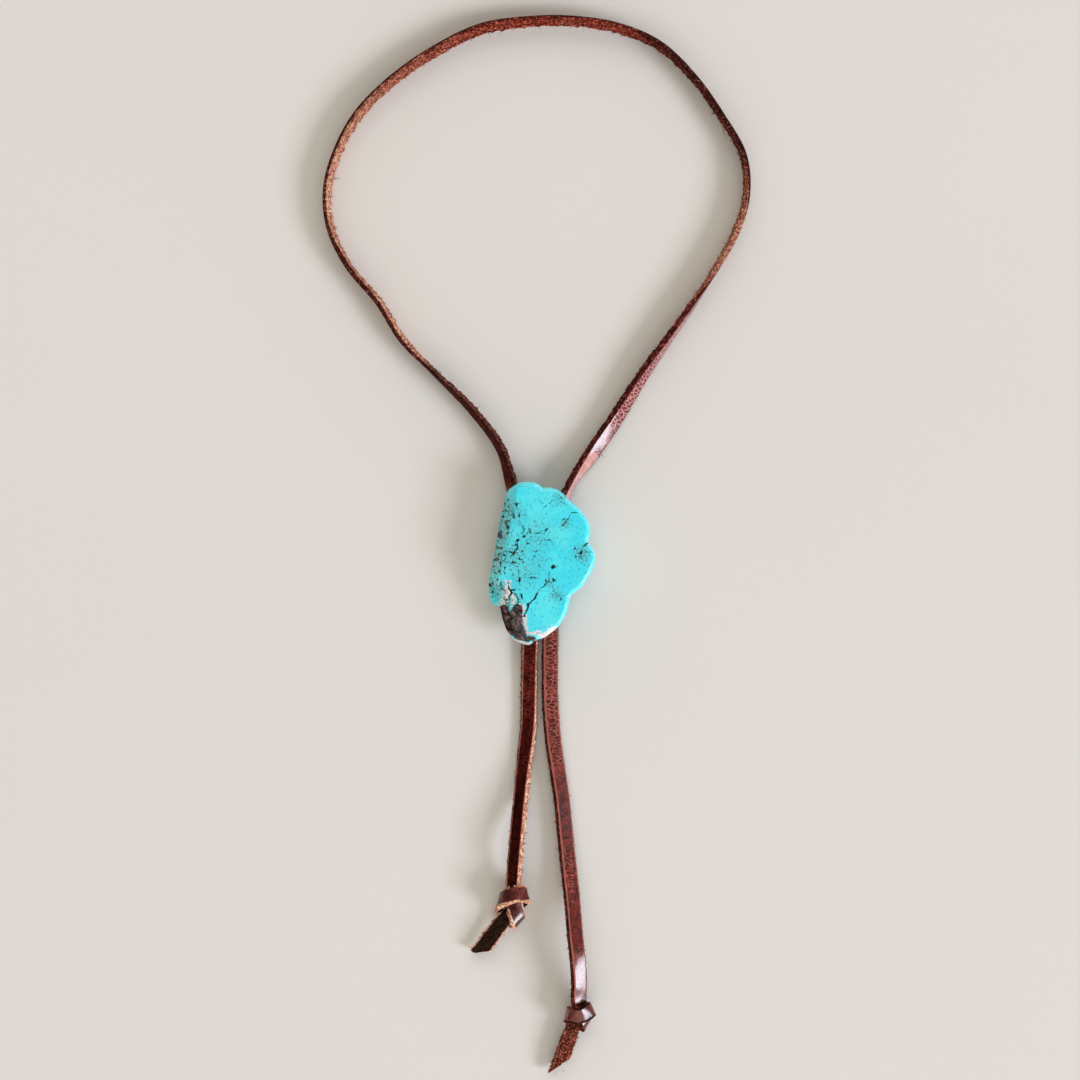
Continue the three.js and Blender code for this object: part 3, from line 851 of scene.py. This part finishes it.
class Nodes:
    """A node tree under construction. Values that are sockets are linked."""

    def __init__(self, tree):
        self.tree = tree

    def put(self, socket, value):
        if isinstance(value, bpy.types.NodeSocket):
            self.tree.links.new(value, socket)
        else:
            socket.default_value = value

    def node(self, kind, inputs=None, **settings):
        made = self.tree.nodes.new(kind)
        for key, value in settings.items():
            setattr(made, key, value)
        for key, value in (inputs or {}).items():
            self.put(made.inputs[key], value)
        return made

    def table(self, name, output="Fac"):
        return self.node("ShaderNodeAttribute", attribute_name=name).outputs[output]

    def part(self, vector, axis):
        return self.node("ShaderNodeSeparateXYZ", {0: vector}).outputs[axis]

    def math(self, operation, a, b=0.0, clamp=False):
        made = self.node("ShaderNodeMath", {0: a, 1: b}, operation=operation, use_clamp=clamp)
        return made.outputs[0]

    def plus(self, a, b):
        return self.math("ADD", a, b)

    def minus(self, a, b):
        return self.math("SUBTRACT", a, b)

    def times(self, a, b, clamp=False):
        return self.math("MULTIPLY", a, b, clamp)

    def most(self, a, b):
        return self.math("MAXIMUM", a, b)

    def shaken(self, value, noise, amount):
        """The value moved up and down by a noise."""
        return self.plus(value, self.times(self.minus(noise, 0.5), amount))

    def scaled(self, vector, factors):
        made = self.node("ShaderNodeVectorMath", {0: vector, 1: factors}, operation="MULTIPLY")
        return made.outputs[0]

    def place(self, kind="Object"):
        return self.node("ShaderNodeTexCoord").outputs[kind]

    def place_mm(self):
        return self.scaled(self.place(), (1 / MM, 1 / MM, 1 / MM))

    def noise(self, vector, scale, detail=4.0, roughness=0.6, output="Fac"):
        made = self.node("ShaderNodeTexNoise", {
            "Vector": vector, "Scale": scale, "Detail": detail, "Roughness": roughness})
        return made.outputs[output]

    def bent(self, vector, amount, detail):
        """A place that wanders, so that what is drawn with it isn't straight."""
        wander = self.noise(vector, 0.8, detail, 0.5, "Color")
        made = self.node("ShaderNodeVectorMath", {
            0: vector, 1: self.scaled(wander, (amount, amount, amount))}, operation="ADD")
        return made.outputs[0]

    def cells(self, vector, scale, feature="DISTANCE_TO_EDGE"):
        made = self.node("ShaderNodeTexVoronoi", voronoi_dimensions="2D", feature=feature)
        self.put(made.inputs["Vector"], vector)
        self.put(made.inputs["Scale"], scale)
        return made.outputs["Distance"]

    def ramp(self, value, low, high, start=0.0, end=1.0):
        """Smoothly from start to end as the value goes from low to high."""
        made = self.node("ShaderNodeMapRange", {
            "Value": value, "From Min": low, "From Max": high, "To Min": start, "To Max": end},
            interpolation_type="SMOOTHSTEP")
        return made.outputs["Result"]

    def mix(self, share, a, b):
        made = self.node("ShaderNodeMix", data_type="RGBA")
        self.put(made.inputs[0], share)
        self.put(made.inputs[6], a)
        self.put(made.inputs[7], b)
        return made.outputs[2]

    def bump(self, height, strength, distance):
        inputs = {"Height": height, "Strength": strength, "Distance": distance}
        return self.node("ShaderNodeBump", inputs).outputs["Normal"]


class Shader(Nodes):
    def __init__(self, name):
        self.material = bpy.data.materials.new(name)
        self.material.use_nodes = True
        super().__init__(self.material.node_tree)

    def finish(self, **values):
        surface = self.tree.nodes["Principled BSDF"]
        for key, value in values.items():
            self.put(surface.inputs[key.replace("_", " ")], value)
        return self.material


RUBBED = srgb(198, 118, 102)             # the lace's rubbed corners


def grain_material(name, gloss):
    """The dyed, polished side. Where its stain number is below 0 the grain is faded, partly as a
    painted reflection of the pale floor, and where it is above 0 the grain is black, partly as
    stain and partly as painted shade.
    """
    shader = Shader(name)
    ramp, mix, times = shader.ramp, shader.mix, shader.times
    lace = shader.table("lace_mm", "Vector")
    stain = shader.table("stain")
    mottle = shader.noise(lace, 0.55, 6.0, 0.75)
    patchy = shader.noise(lace, 0.09, 2.0)
    bent = shader.bent(lace, 1.3, 2.0)
    # Wrinkles run mostly across the lace.
    crackle = shader.cells(shader.scaled(bent, (0.95, 0.45, 1.0)), 1.0)
    fine = shader.cells(bent, 2.2)
    lines = ramp(crackle, 0.03, 0.12, 1.0, 0.0)
    shown = shader.most(times(shader.table("worn"), 0.90), ramp(patchy, 0.44, 0.62, 0.10, 0.55))
    crease = times(times(lines, shown), ramp(stain, 0.0, 0.6, 1.0, 0.2))
    streak = shader.noise(shader.scaled(bent, (0.9, 0.3, 0.5)), 1.0, 2.0)
    scratch = ramp(shader.math("ABSOLUTE", shader.minus(streak, 0.5)), 0.0, 0.020, 1.0, 0.0)
    scratch = times(scratch, ramp(patchy, 0.45, 0.60, 0.10, 0.70))
    light = srgb(216, 122, 104)
    colour = mix(ramp(mottle, 0.42, 0.58), srgb(50, 11, 8), srgb(112, 28, 22))
    colour = mix(scratch, colour, light)
    colour = mix(times(crease, 0.65), colour, light)
    # Half faded grain is wrinkled all over, and the most faded is smooth and pale pink, partly a
    # painted reflection of the pale floor seen at a grazing angle.
    faded = times(stain, -1.0, clamp=True)
    wrinkled = mix(lines, srgb(108, 26, 29), srgb(218, 152, 150))
    smooth = mix(ramp(mottle, 0.40, 0.60), srgb(190, 128, 122), srgb(212, 160, 155))
    colour = mix(ramp(faded, 0.15, 0.40), colour, wrinkled)
    colour = mix(ramp(faded, 0.50, 0.90), colour, smooth)
    # Blackening, partly stain and partly painted shade.
    colour = mix(times(stain, 0.88, clamp=True), colour, srgb(26, 7, 5))
    corner = ramp(shader.math("ABSOLUTE", shader.part(lace, "Y")), 1.96, 2.06)
    colour = mix(times(corner, shader.table("rim")), colour, RUBBED)
    height = times(shader.plus(ramp(crackle, 0.0, 0.3), ramp(fine, 0.0, 0.2)), 0.35)
    return shader.finish(
        Base_Color=colour, Roughness=ramp(mottle, 0.3, 0.7, 0.36, 0.52),
        Specular_IOR_Level=0.12 * gloss, Coat_Weight=gloss, Coat_Roughness=0.19,
        Normal=shader.bump(shader.plus(height, mottle), 0.5, 0.00016))


def suede(shader, nap, pale):
    """Undyed leather: low, middle and high parts of its nap, from dark to pale leather."""
    low = shader.mix(pale, srgb(56, 13, 9), srgb(176, 104, 78))
    middle = shader.mix(pale, srgb(138, 48, 34), srgb(226, 166, 134))
    high = shader.mix(pale, srgb(194, 100, 76), srgb(250, 218, 194))
    colour = shader.mix(shader.ramp(nap, 0.45, 0.51), low, middle)
    return shader.mix(shader.ramp(nap, 0.55, 0.61), colour, high)


def edge_material():
    shader = Shader("leather_edge")
    lace = shader.table("lace_mm", "Vector")
    height = shader.part(lace, "Z")
    nap = shader.noise(shader.scaled(lace, (0.9, 1.3, 1.3)), 1.4, 3.0)
    blotch = shader.noise(lace, 0.7, 4.0, 0.7)
    # The dark dye reaches down from the grain side, unevenly. On the tails and knots its depth
    # also paints light and shade: raw pale edges where they face the lamp, dark edges where they
    # are turned from it.
    reach = shader.shaken(shader.table("dye"), blotch, 0.6)
    depth = shader.minus(LACE_THICKNESS / 2 / MM, height)
    raw = shader.ramp(shader.minus(depth, reach), -0.1, 0.1)
    dyed = shader.mix(shader.ramp(nap, 0.46, 0.56), srgb(44, 9, 8), srgb(92, 27, 22))
    dyed = shader.mix(shader.ramp(nap, 0.61, 0.66), dyed, srgb(172, 96, 76))
    colour = shader.mix(raw, dyed, suede(shader, nap, shader.table("pale")))
    corner = shader.ramp(height, 0.74, 0.82)
    colour = shader.mix(shader.times(corner, shader.table("rim")), colour, RUBBED)
    # Painted shade: the shade table blackens the cut edges in the knots' hollows, on the edge
    # turned from the lamp and under the loop's dark spots.
    return shader.finish(
        Base_Color=shader.mix(shader.table("shade"), colour, srgb(24, 7, 5)), Roughness=0.92,
        Specular_IOR_Level=0.15, Normal=shader.bump(nap, 1.0, 0.0005))


def flesh_material():
    shader = Shader("leather_flesh")
    lace = shader.table("lace_mm", "Vector")
    nap = shader.noise(lace, 1.5, 3.0)
    blotch = shader.noise(lace, 0.55, 5.0, 0.75)
    colour = suede(shader, nap, shader.table("pale"))
    colour = shader.mix(shader.ramp(blotch, 0.54, 0.60, 0.0, 0.5), colour, srgb(80, 28, 18))
    # Darkened flesh side, partly stain and partly painted shade.
    colour = shader.mix(shader.table("flesh_stain"), colour, srgb(18, 6, 6))
    return shader.finish(
        Base_Color=colour, Roughness=0.95, Specular_IOR_Level=0.1,
        Normal=shader.bump(nap, 1.0, 0.0008))


def metal_material():
    shader = Shader("slide_metal")
    place = shader.place_mm()
    brushed = shader.noise(shader.scaled(place, (0.12, 3.0, 3.0)), 2.0, 5.0)
    tarnish = shader.noise(place, 0.35)
    colour = shader.mix(brushed, srgb(150, 146, 138), srgb(186, 182, 174))
    colour = shader.mix(shader.ramp(tarnish, 0.5, 0.75, 0.0, 0.6), colour, srgb(112, 98, 82))
    return shader.finish(
        Base_Color=colour, Metallic=1.0, Roughness=shader.ramp(brushed, 0.3, 0.7, 0.26, 0.42),
        Normal=shader.bump(brushed, 0.3, 0.00005))


def stone_material():
    shader = Shader("turquoise")
    ramp, mix, times = shader.ramp, shader.mix, shader.times
    place = shader.place_mm()
    vein, matrix, chalk, web = map(shader.table, ("vein", "matrix", "chalk", "web"))
    cloud = shader.noise(place, 0.13, 4.0, 0.55)
    grain = shader.noise(place, 1.3, 6.0, 0.7)
    spots = shader.noise(place, 1.9, 5.0, 0.75)
    colour = mix(ramp(cloud, 0.35, 0.65), srgb(63, 232, 255), srgb(92, 241, 255))
    colour = mix(ramp(grain, 0.35, 0.75, 0.0, 0.25), colour, srgb(140, 232, 236))
    # Small darker freckles all over, and paler, greener stone where the web runs through it.
    freckles = ramp(shader.cells(place, 0.65, "F1"), 0.14, 0.36, 1.0, 0.0)
    freckles = times(freckles, ramp(grain, 0.46, 0.56, 0.0, 0.55))
    colour = mix(freckles, colour, srgb(40, 168, 180))
    colour = mix(times(web, 0.60), colour, srgb(112, 186, 184))
    # The web: thin lines between cells of stone, with black knots where three cells meet.
    bent = shader.bent(place, 2.0, 4.0)
    lines = ramp(shader.cells(bent, 0.85), 0.03, 0.12, 1.0, 0.0)
    lines = times(lines, ramp(spots, 0.42, 0.54))
    lines = times(lines, ramp(web, 0.08, 0.60, 0.0, 0.85))
    colour = mix(lines, colour, srgb(26, 62, 68))
    knots = shader.plus(shader.cells(bent, 0.85, "F1"), times(web, 0.10))
    black_web = times(ramp(knots, 0.73, 0.78), ramp(web, 0.10, 0.30))
    # The bare matrix: brown black rock with pinkish lights and a few white grains.
    lumps = shader.noise(place, 0.55)
    earth = mix(ramp(lumps, 0.50, 0.55), srgb(5, 2, 3), srgb(92, 52, 60))
    earth = mix(ramp(lumps, 0.60, 0.64), earth, srgb(160, 122, 134))
    earth = mix(ramp(spots, 0.64, 0.68), earth, srgb(236, 226, 226))
    bare = ramp(shader.shaken(matrix, spots, 2.5), -0.10, 0.15)
    chips = ramp(shader.shaken(chalk, grain, 6.5), -0.10, 0.25)
    white = mix(ramp(spots, 0.40, 0.54), srgb(176, 168, 182), srgb(246, 243, 240))
    colour = mix(chips, colour, white)
    colour = mix(black_web, colour, srgb(16, 16, 18))
    colour = mix(bare, colour, earth)
    colour = mix(ramp(vein, -0.35, 0.25), colour, srgb(18, 16, 18))
    dull = shader.most(shader.most(bare, chips), black_web)
    height = shader.minus(times(lumps, bare), black_web)
    return shader.finish(
        Base_Color=colour, Roughness=ramp(dull, 0.0, 1.0, 0.20, 0.55), Specular_IOR_Level=0.25,
        Coat_Weight=0.9, Coat_Roughness=0.10, Normal=shader.bump(height, 0.8, 0.0004))


def floor_material():
    shader = Shader("floor")
    tone = shader.noise(shader.place(), 3.0, 3.0)
    colour = shader.mix(tone, srgb(225, 221, 217), srgb(230, 227, 224))
    return shader.finish(Base_Color=colour, Roughness=1.0, Specular_IOR_Level=0.0)


# ---- Lace pieces -----------------------------------------------------------------------------

def paint_lace(piece, mesh, stain, spots, rim, shaded_edge_side):
    """What the leather's materials read.

    The stain numbers are how black the grain is near the stone and far out, and how black the
    flesh side is, partly as stain and partly as painted shade. Each of the spots is a place, a
    radius, how black or, below 0, how faded the lace is there, and how far along the lace that
    shows on its grain; the black is partly painted shade and the fading partly a painted
    reflection. rim is how rubbed the corners are, and the shaded side is which cut edge gets
    painted shade: 1, -1 or none."""
    near, far, flesh = stain
    coordinates = np.array(mesh.coordinates)
    places = np.array(mesh.verts)[:, :2]
    along, across = coordinates[:, 0] * MM, coordinates[:, 1] * MM
    away = np.clip((np.hypot(*places.T) - WORN_TO) / WORN_FADE, 0, 1)
    black = lerp(near, far, away)
    # Painted shade on the cut edge turned from the lamp.
    shade = np.where(across * shaded_edge_side > EDGE_FROM, EDGE_SHADE, 0.0)
    for x, y, radius, amount, reach in spots:
        aside = np.hypot(*(places - (x, y)).T)
        spot = amount * np.clip((1 - aside / radius) / SPOT_BORDER, 0, 1)
        shade = np.maximum(shade, spot)
        black = np.where((along < reach) & (np.abs(spot) > np.abs(black)), spot, black)
    add_tables(piece, lace_mm=coordinates[:, :3], dye=coordinates[:, 3], pale=coordinates[:, 4],
               worn=1 - away, rim=np.full(len(places), rim), stain=black, shade=shade,
               flesh_stain=np.maximum(flesh, shade))


def lace_piece(name, node, mesh, materials, stain=(0.0, 0.0, 0.0), spots=(), rim=0.0,
               shaded_edge_side=0, dull_to=0.0):
    """A piece of lace in place of a CAD node. Its grain has no gloss as far as dull_to."""
    material_of = [DULL_GRAIN if side == GRAIN and mesh.coordinates[face[0]][0] * MM < dull_to
                   else side for face, side in zip(mesh.faces, mesh.sides)]
    piece = new_piece(name, mesh.verts, mesh.faces, materials, material_of)
    paint_lace(piece, mesh, stain, spots, rim, shaded_edge_side)
    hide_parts(node)
    return piece


def make_knot(side, plan, materials):
    line = knot_line(plan)
    free = line.length - plan["legs"][-1].length
    reach_of = tip_reach(plan, line, free)
    mesh = LaceMesh(line, KNOT_ENTRY, line.length, KNOT_STEP, ragged=KNOT_RAGGED, seed=5.0,
                    tip=(free, reach_of))
    mesh.add_fibres(free, line.length, per_mm=9, seed=41, reach_of=reach_of)
    # The knot's hollow gets painted shade.
    return lace_piece(f"{side}_knot_lace", f"{side}_knot", mesh, materials, plan["stain"],
                      spots=[(*plan["hollow_shade"], HOLLOW_SHADE_REACH)])


def make_loop(materials):
    line = table_line(NECK_ROUTE)
    mesh = LaceMesh(line, 0, line.length, LOOP_STEP, seed=1.0)
    mesh.add_fibres(FIBRE_START, line.length - FIBRE_START, per_mm=6, seed=21)
    piece = lace_piece("neck_loop_lace", "neck_loop", mesh, materials, spots=LOOP_SPOTS,
                       dull_to=LOOP_DULL_TO)


def make_tail(side, sign, tail, plan, materials):
    line = tail_line(tail, plan)
    mesh = LaceMesh(line, 0, line.length, TAIL_STEP, seed=2.0 + sign)
    mesh.add_fibres(FIBRE_START, line.length, per_mm=5, seed=31 + sign)
    # The knot's hollow paints shade on the tail's end as well.
    piece = lace_piece(f"{side}_tail_lace", f"{side}_tail", mesh, materials, tail["stain"],
                       spots=[(*plan["hollow_shade"], line.length)], rim=TAIL_RIM,
                       shaded_edge_side=tail["shaded_edge_side"], dull_to=tail["dull_to"])


def make_lace():
    materials = [grain_material("leather_grain", 1.0), edge_material(), flesh_material(),
                 grain_material("leather_dull_grain", 0.04)]
    left_knot = make_knot("left", LEFT_KNOT, materials)
    right_knot = make_knot("right", RIGHT_KNOT, materials)
    make_loop(materials)
    make_tail("left", -1, LEFT_TAIL, LEFT_KNOT, materials)
    make_tail("right", 1, RIGHT_TAIL, RIGHT_KNOT, materials)


def finish_slide():
    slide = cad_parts["slide"]
    metal = metal_material()
    for slot in slide.material_slots:
        slot.material = metal


# ---- The stone -------------------------------------------------------------------------------

def closed_spline(points, count):
    """Evenly spaced points on a closed Catmull-Rom curve."""
    points = np.array(points)
    n = len(points)
    dense = []
    for k in range(n):
        a, b, c, d = (points[(k + i) % n] for i in (-1, 0, 1, 2))
        for t in np.linspace(0, 1, 16, endpoint=False):
            dense.append(0.5 * (2 * b + (c - a) * t + (2 * a - 5 * b + 4 * c - d) * t * t
                                + (3 * b - a - 3 * c + d) * t ** 3))
    dense = np.array(dense + dense[:1])
    along = np.concatenate([[0], np.cumsum(np.linalg.norm(np.diff(dense, axis=0), axis=1))])
    s = np.linspace(0, along[-1], count, endpoint=False)
    return np.stack([np.interp(s, along, dense[:, k]) for k in range(2)], axis=1)


def line_distance(places, points):
    """Distance from each place to a chain of straight lines, in plan."""
    best = np.full(len(places), np.inf)
    for a, b in zip(points, points[1:]):
        a, b = np.array(a), np.array(b)
        share = np.clip((places - a) @ (b - a) / np.dot(b - a, b - a), 0, 1)
        best = np.minimum(best, np.linalg.norm(places - a - share[:, None] * (b - a), axis=1))
    return best


def inside(places, points):
    """Whether each place lies in a closed outline."""
    result = np.zeros(len(places), dtype=bool)
    x, y = places[:, 0], places[:, 1]
    for (x1, y1), (x2, y2) in zip(points, points[1:] + points[:1]):
        crosses = (y1 > y) != (y2 > y)
        reach = x1 + (y - y1) * (x2 - x1) / ((y2 - y1) or 1e-12)
        result ^= crosses & (x < reach)
    return result


def noise_table(places, wavelength, seed):
    """Noise at each place in plan."""
    return np.array([rough((*p, seed * 0.01), wavelength, seed) for p in places])


def wave_table(size, places, seed):
    """Unevenness at each place in plan, from a height and a wavelength."""
    height, wavelength = size
    return height * noise_table(places, wavelength, seed)


def warped(places, seed):
    """Places shifted about a little, so that what is drawn on them wanders."""
    shift = [wave_table(MARK_WANDER, places, seed + k)
             + wave_table(MARK_JITTER, places, seed + 2 + k) for k in (0, 1)]
    return places + np.stack(shift, axis=1)


def vein_marks(places):
    """How far inside a dark vein or speck each place is, as a share of its half width."""
    vein = np.full(len(places), MARK_NONE)
    breaks = noise_table(places, 0.0010, 9.0)
    moved = warped(places, 3.0)
    for width, broken, points in VEINS:
        # Its width wavers, and where it is broken up it narrows to almost nothing in places.
        half = 0.4 * width * (1 + 0.9 * noise_table(places, 0.0016, 17.0))
        half = half * np.clip(1 + broken * 2.2 * breaks - 0.3 * broken, 0.05, 1.6)
        vein = np.maximum(vein, 1 - line_distance(moved, points) / np.maximum(half, 1e-5))
    for x, y, radius in SPECKS:
        vein = np.maximum(vein, 1 - np.linalg.norm(moved - (x, y), axis=1) / radius)
    return vein


def stone_marks(places):
    """How far inside a vein, the matrix patch, chalk and the fine web each place is."""
    moved = warped(places, 3.0)
    edge = line_distance(moved, MATRIX_PATCH + MATRIX_PATCH[:1])
    matrix = np.where(inside(moved, MATRIX_PATCH), edge, -edge) / MM
    chalk = np.full(len(places), MARK_NONE)
    for radius, points in CHALK_LINES:
        chalk = np.maximum(chalk, 1 - line_distance(moved, points) / radius)
    web = np.zeros(len(places))
    for x, y, radius, strength in WEB_SPOTS:
        away = np.linalg.norm(places - (x, y), axis=1)
        web = np.maximum(web, strength * np.clip(1.25 - away / radius, 0, 1))
    return {"vein": vein_marks(places), "matrix": matrix, "chalk": chalk, "web": web}


def stone_top(places, rim_distance, marks):
    """Height of the slab's upper surface over each place."""
    ceiling = STONE_FLOOR + STONE_DEPTH
    top = ceiling - STONE_SWELL[0] + wave_table(STONE_SWELL, places, 21.0)
    uneven = wave_table(ROCK_LUMPS, places, 25.0) + wave_table(ROCK_GRAINS, places, 27.0)
    for x, y, heading, steepness in STONE_FACETS:
        facing = np.array(direction(heading))[:2]
        drop = math.tan(math.radians(steepness)) * ((places - (x, y)) @ facing)
        plane = ceiling - drop + FACET_ROUGHNESS * uneven
        blend = np.clip(0.5 + (plane - top) / (2 * STONE_RIDGE), 0, 1)
        top = lerp(plane, top, blend) - STONE_RIDGE * blend * (1 - blend)
    crag = np.clip(marks["matrix"] / 0.5 + 0.4, 0, 1)
    top = top - crag * (PATCH_DEPTH + PATCH_ROUGHNESS * np.abs(uneven))
    top = top - VEIN_DEPTH * np.clip(marks["vein"], 0, 1)
    top = top - CHALK_DEPTH * np.clip(marks["chalk"], 0, 1)
    fall = np.clip(STONE_RIM - rim_distance, 0, STONE_RIM)
    top = top - (STONE_RIM - np.sqrt(np.maximum(STONE_RIM ** 2 - fall ** 2, 0)))
    return np.maximum(top, STONE_FLOOR + STONE_LEAST)


def stone_wall(outline, outward, rim_heights, t):
    """The loop of the slab's side a share t of the way down it, rounded in at its foot."""
    height = lerp(rim_heights, STONE_FLOOR, smoothstep(0, 1, t) * 0.3 + 0.7 * t)
    low = np.clip((STONE_FLOOR + STONE_FOOT - height) / STONE_FOOT, 0, 1)
    inset = STONE_FOOT * (1 - np.sqrt(np.maximum(1 - low ** 2, 0)))
    wave, wavelength = WALL_WAVES
    bulge = np.array([wave * rough((*place, z), wavelength, 31.0)
                      for place, z in zip(outline, height)])
    return np.column_stack([outline - outward * (inset - bulge)[:, None], height])


def stone_back(outline, outward, share):
    """A loop of the slab's back, which is a share of its size."""
    spread = STONE_MIDDLE + (outline - outward * STONE_FOOT - STONE_MIDDLE) * share
    height = STONE_FLOOR + wave_table(BACK_WAVES, spread, 41.0)
    return np.column_stack([spread, height])


def slab_faces(loops, n):
    """Fans round the first and last vertex, and quads between the loops of n vertices."""
    faces = [(0, 1 + (k + 1) % n, 1 + k) for k in range(n)]
    for row in range(loops - 1):
        a, b = 1 + row * n, 1 + (row + 1) * n
        for k in range(n):
            k2 = (k + 1) % n
            faces.append((a + k, a + k2, b + k2, b + k))
    last, end = 1 + (loops - 1) * n, 1 + loops * n
    return faces + [(last + k, last + (k + 1) % n, end) for k in range(n)]


def make_stone():
    outline = closed_spline(STONE_OUTLINE, STONE_SECTORS)
    along = outline - np.roll(outline, 1, axis=0)
    outward = unit(np.column_stack([-along[:, 1], along[:, 0]]))
    # The rings lie a little closer together towards the rim.
    shares = np.linspace(0, 1, STONE_RINGS + 1)[1:] ** 0.9
    rings = [STONE_MIDDLE + (outline - STONE_MIDDLE) * share for share in shares]
    places = np.concatenate([[STONE_MIDDLE], *rings])
    rim_distance = line_distance(places, np.vstack([outline, outline[:1]]))
    rim_distance[-STONE_SECTORS:] = 0
    marks = stone_marks(places)
    heights = stone_top(places, rim_distance, marks)
    walls = [stone_wall(outline, outward, heights[-STONE_SECTORS:], row / WALL_ROWS)
             for row in range(1, WALL_ROWS + 1)]
    back = [stone_back(outline, outward, 1 - ring / (BACK_RINGS + 1))
            for ring in range(1, BACK_RINGS + 1)]
    verts = np.vstack([np.column_stack([places, heights]), *walls, *back,
                       [(*STONE_MIDDLE, STONE_FLOOR)]])
    faces = slab_faces(STONE_RINGS + WALL_ROWS + BACK_RINGS, STONE_SECTORS)
    piece = new_piece("turquoise_slab", verts, faces, [stone_material()])
    # The side and the back carry the marks of the rim above them.
    add_tables(piece, **{name: np.concatenate([
        mark, np.tile(mark[-STONE_SECTORS:], WALL_ROWS + BACK_RINGS), mark[:1]])
        for name, mark in marks.items()})
    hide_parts("stone")


# ---- Stage and light -------------------------------------------------------------------------

def make_floor():
    size, drop = FLOOR_HALF, -TABLE_SKIN
    mesh = bpy.data.meshes.new("floor")
    corners = [(-size, -size, drop), (size, -size, drop), (size, size, drop), (-size, size, drop)]
    mesh.from_pydata(corners, [], [(0, 1, 2, 3)])
    mesh.materials.append(floor_material())
    floor = bpy.data.objects.new("floor", mesh)
    bpy.context.scene.collection.objects.link(floor)


def make_lamps():
    for name, azimuth, elevation, distance, width, height, power, colour in LAMPS:
        tilt = math.radians(elevation)
        place = (direction(azimuth) * math.cos(tilt) + UP * math.sin(tilt)) * distance
        data = bpy.data.lights.new(name, "AREA")
        data.shape = "RECTANGLE"
        data.size, data.size_y = width, height
        data.energy = power
        data.color = colour
        lamp = bpy.data.objects.new(name, data)
        lamp.location = place
        lamp.rotation_euler = (-place).to_track_quat("-Z", "Y").to_euler()
        bpy.context.scene.collection.objects.link(lamp)


def make_room():
    """The light of a room round the table: pale walls beyond its two ends, the rest dark."""
    world = bpy.data.worlds.new("room")
    world.use_nodes = True
    nodes = Nodes(world.node_tree)
    endwise = nodes.math("ABSOLUTE", nodes.part(nodes.place("Generated"), "Y"))
    background = nodes.tree.nodes["Background"]
    nodes.put(background.inputs["Color"], ROOM_COLOUR)
    strength = nodes.ramp(endwise, 0.35, 0.75, ROOM_REST, ROOM_WALLS)
    nodes.put(background.inputs["Strength"], strength)
    bpy.context.scene.world = world
    bpy.context.scene.view_settings.view_transform = "Standard"


# ---- The whole picture -----------------------------------------------------------------------

make_camera()
make_lace()
make_stone()
finish_slide()
make_floor()
make_lamps()
make_room()
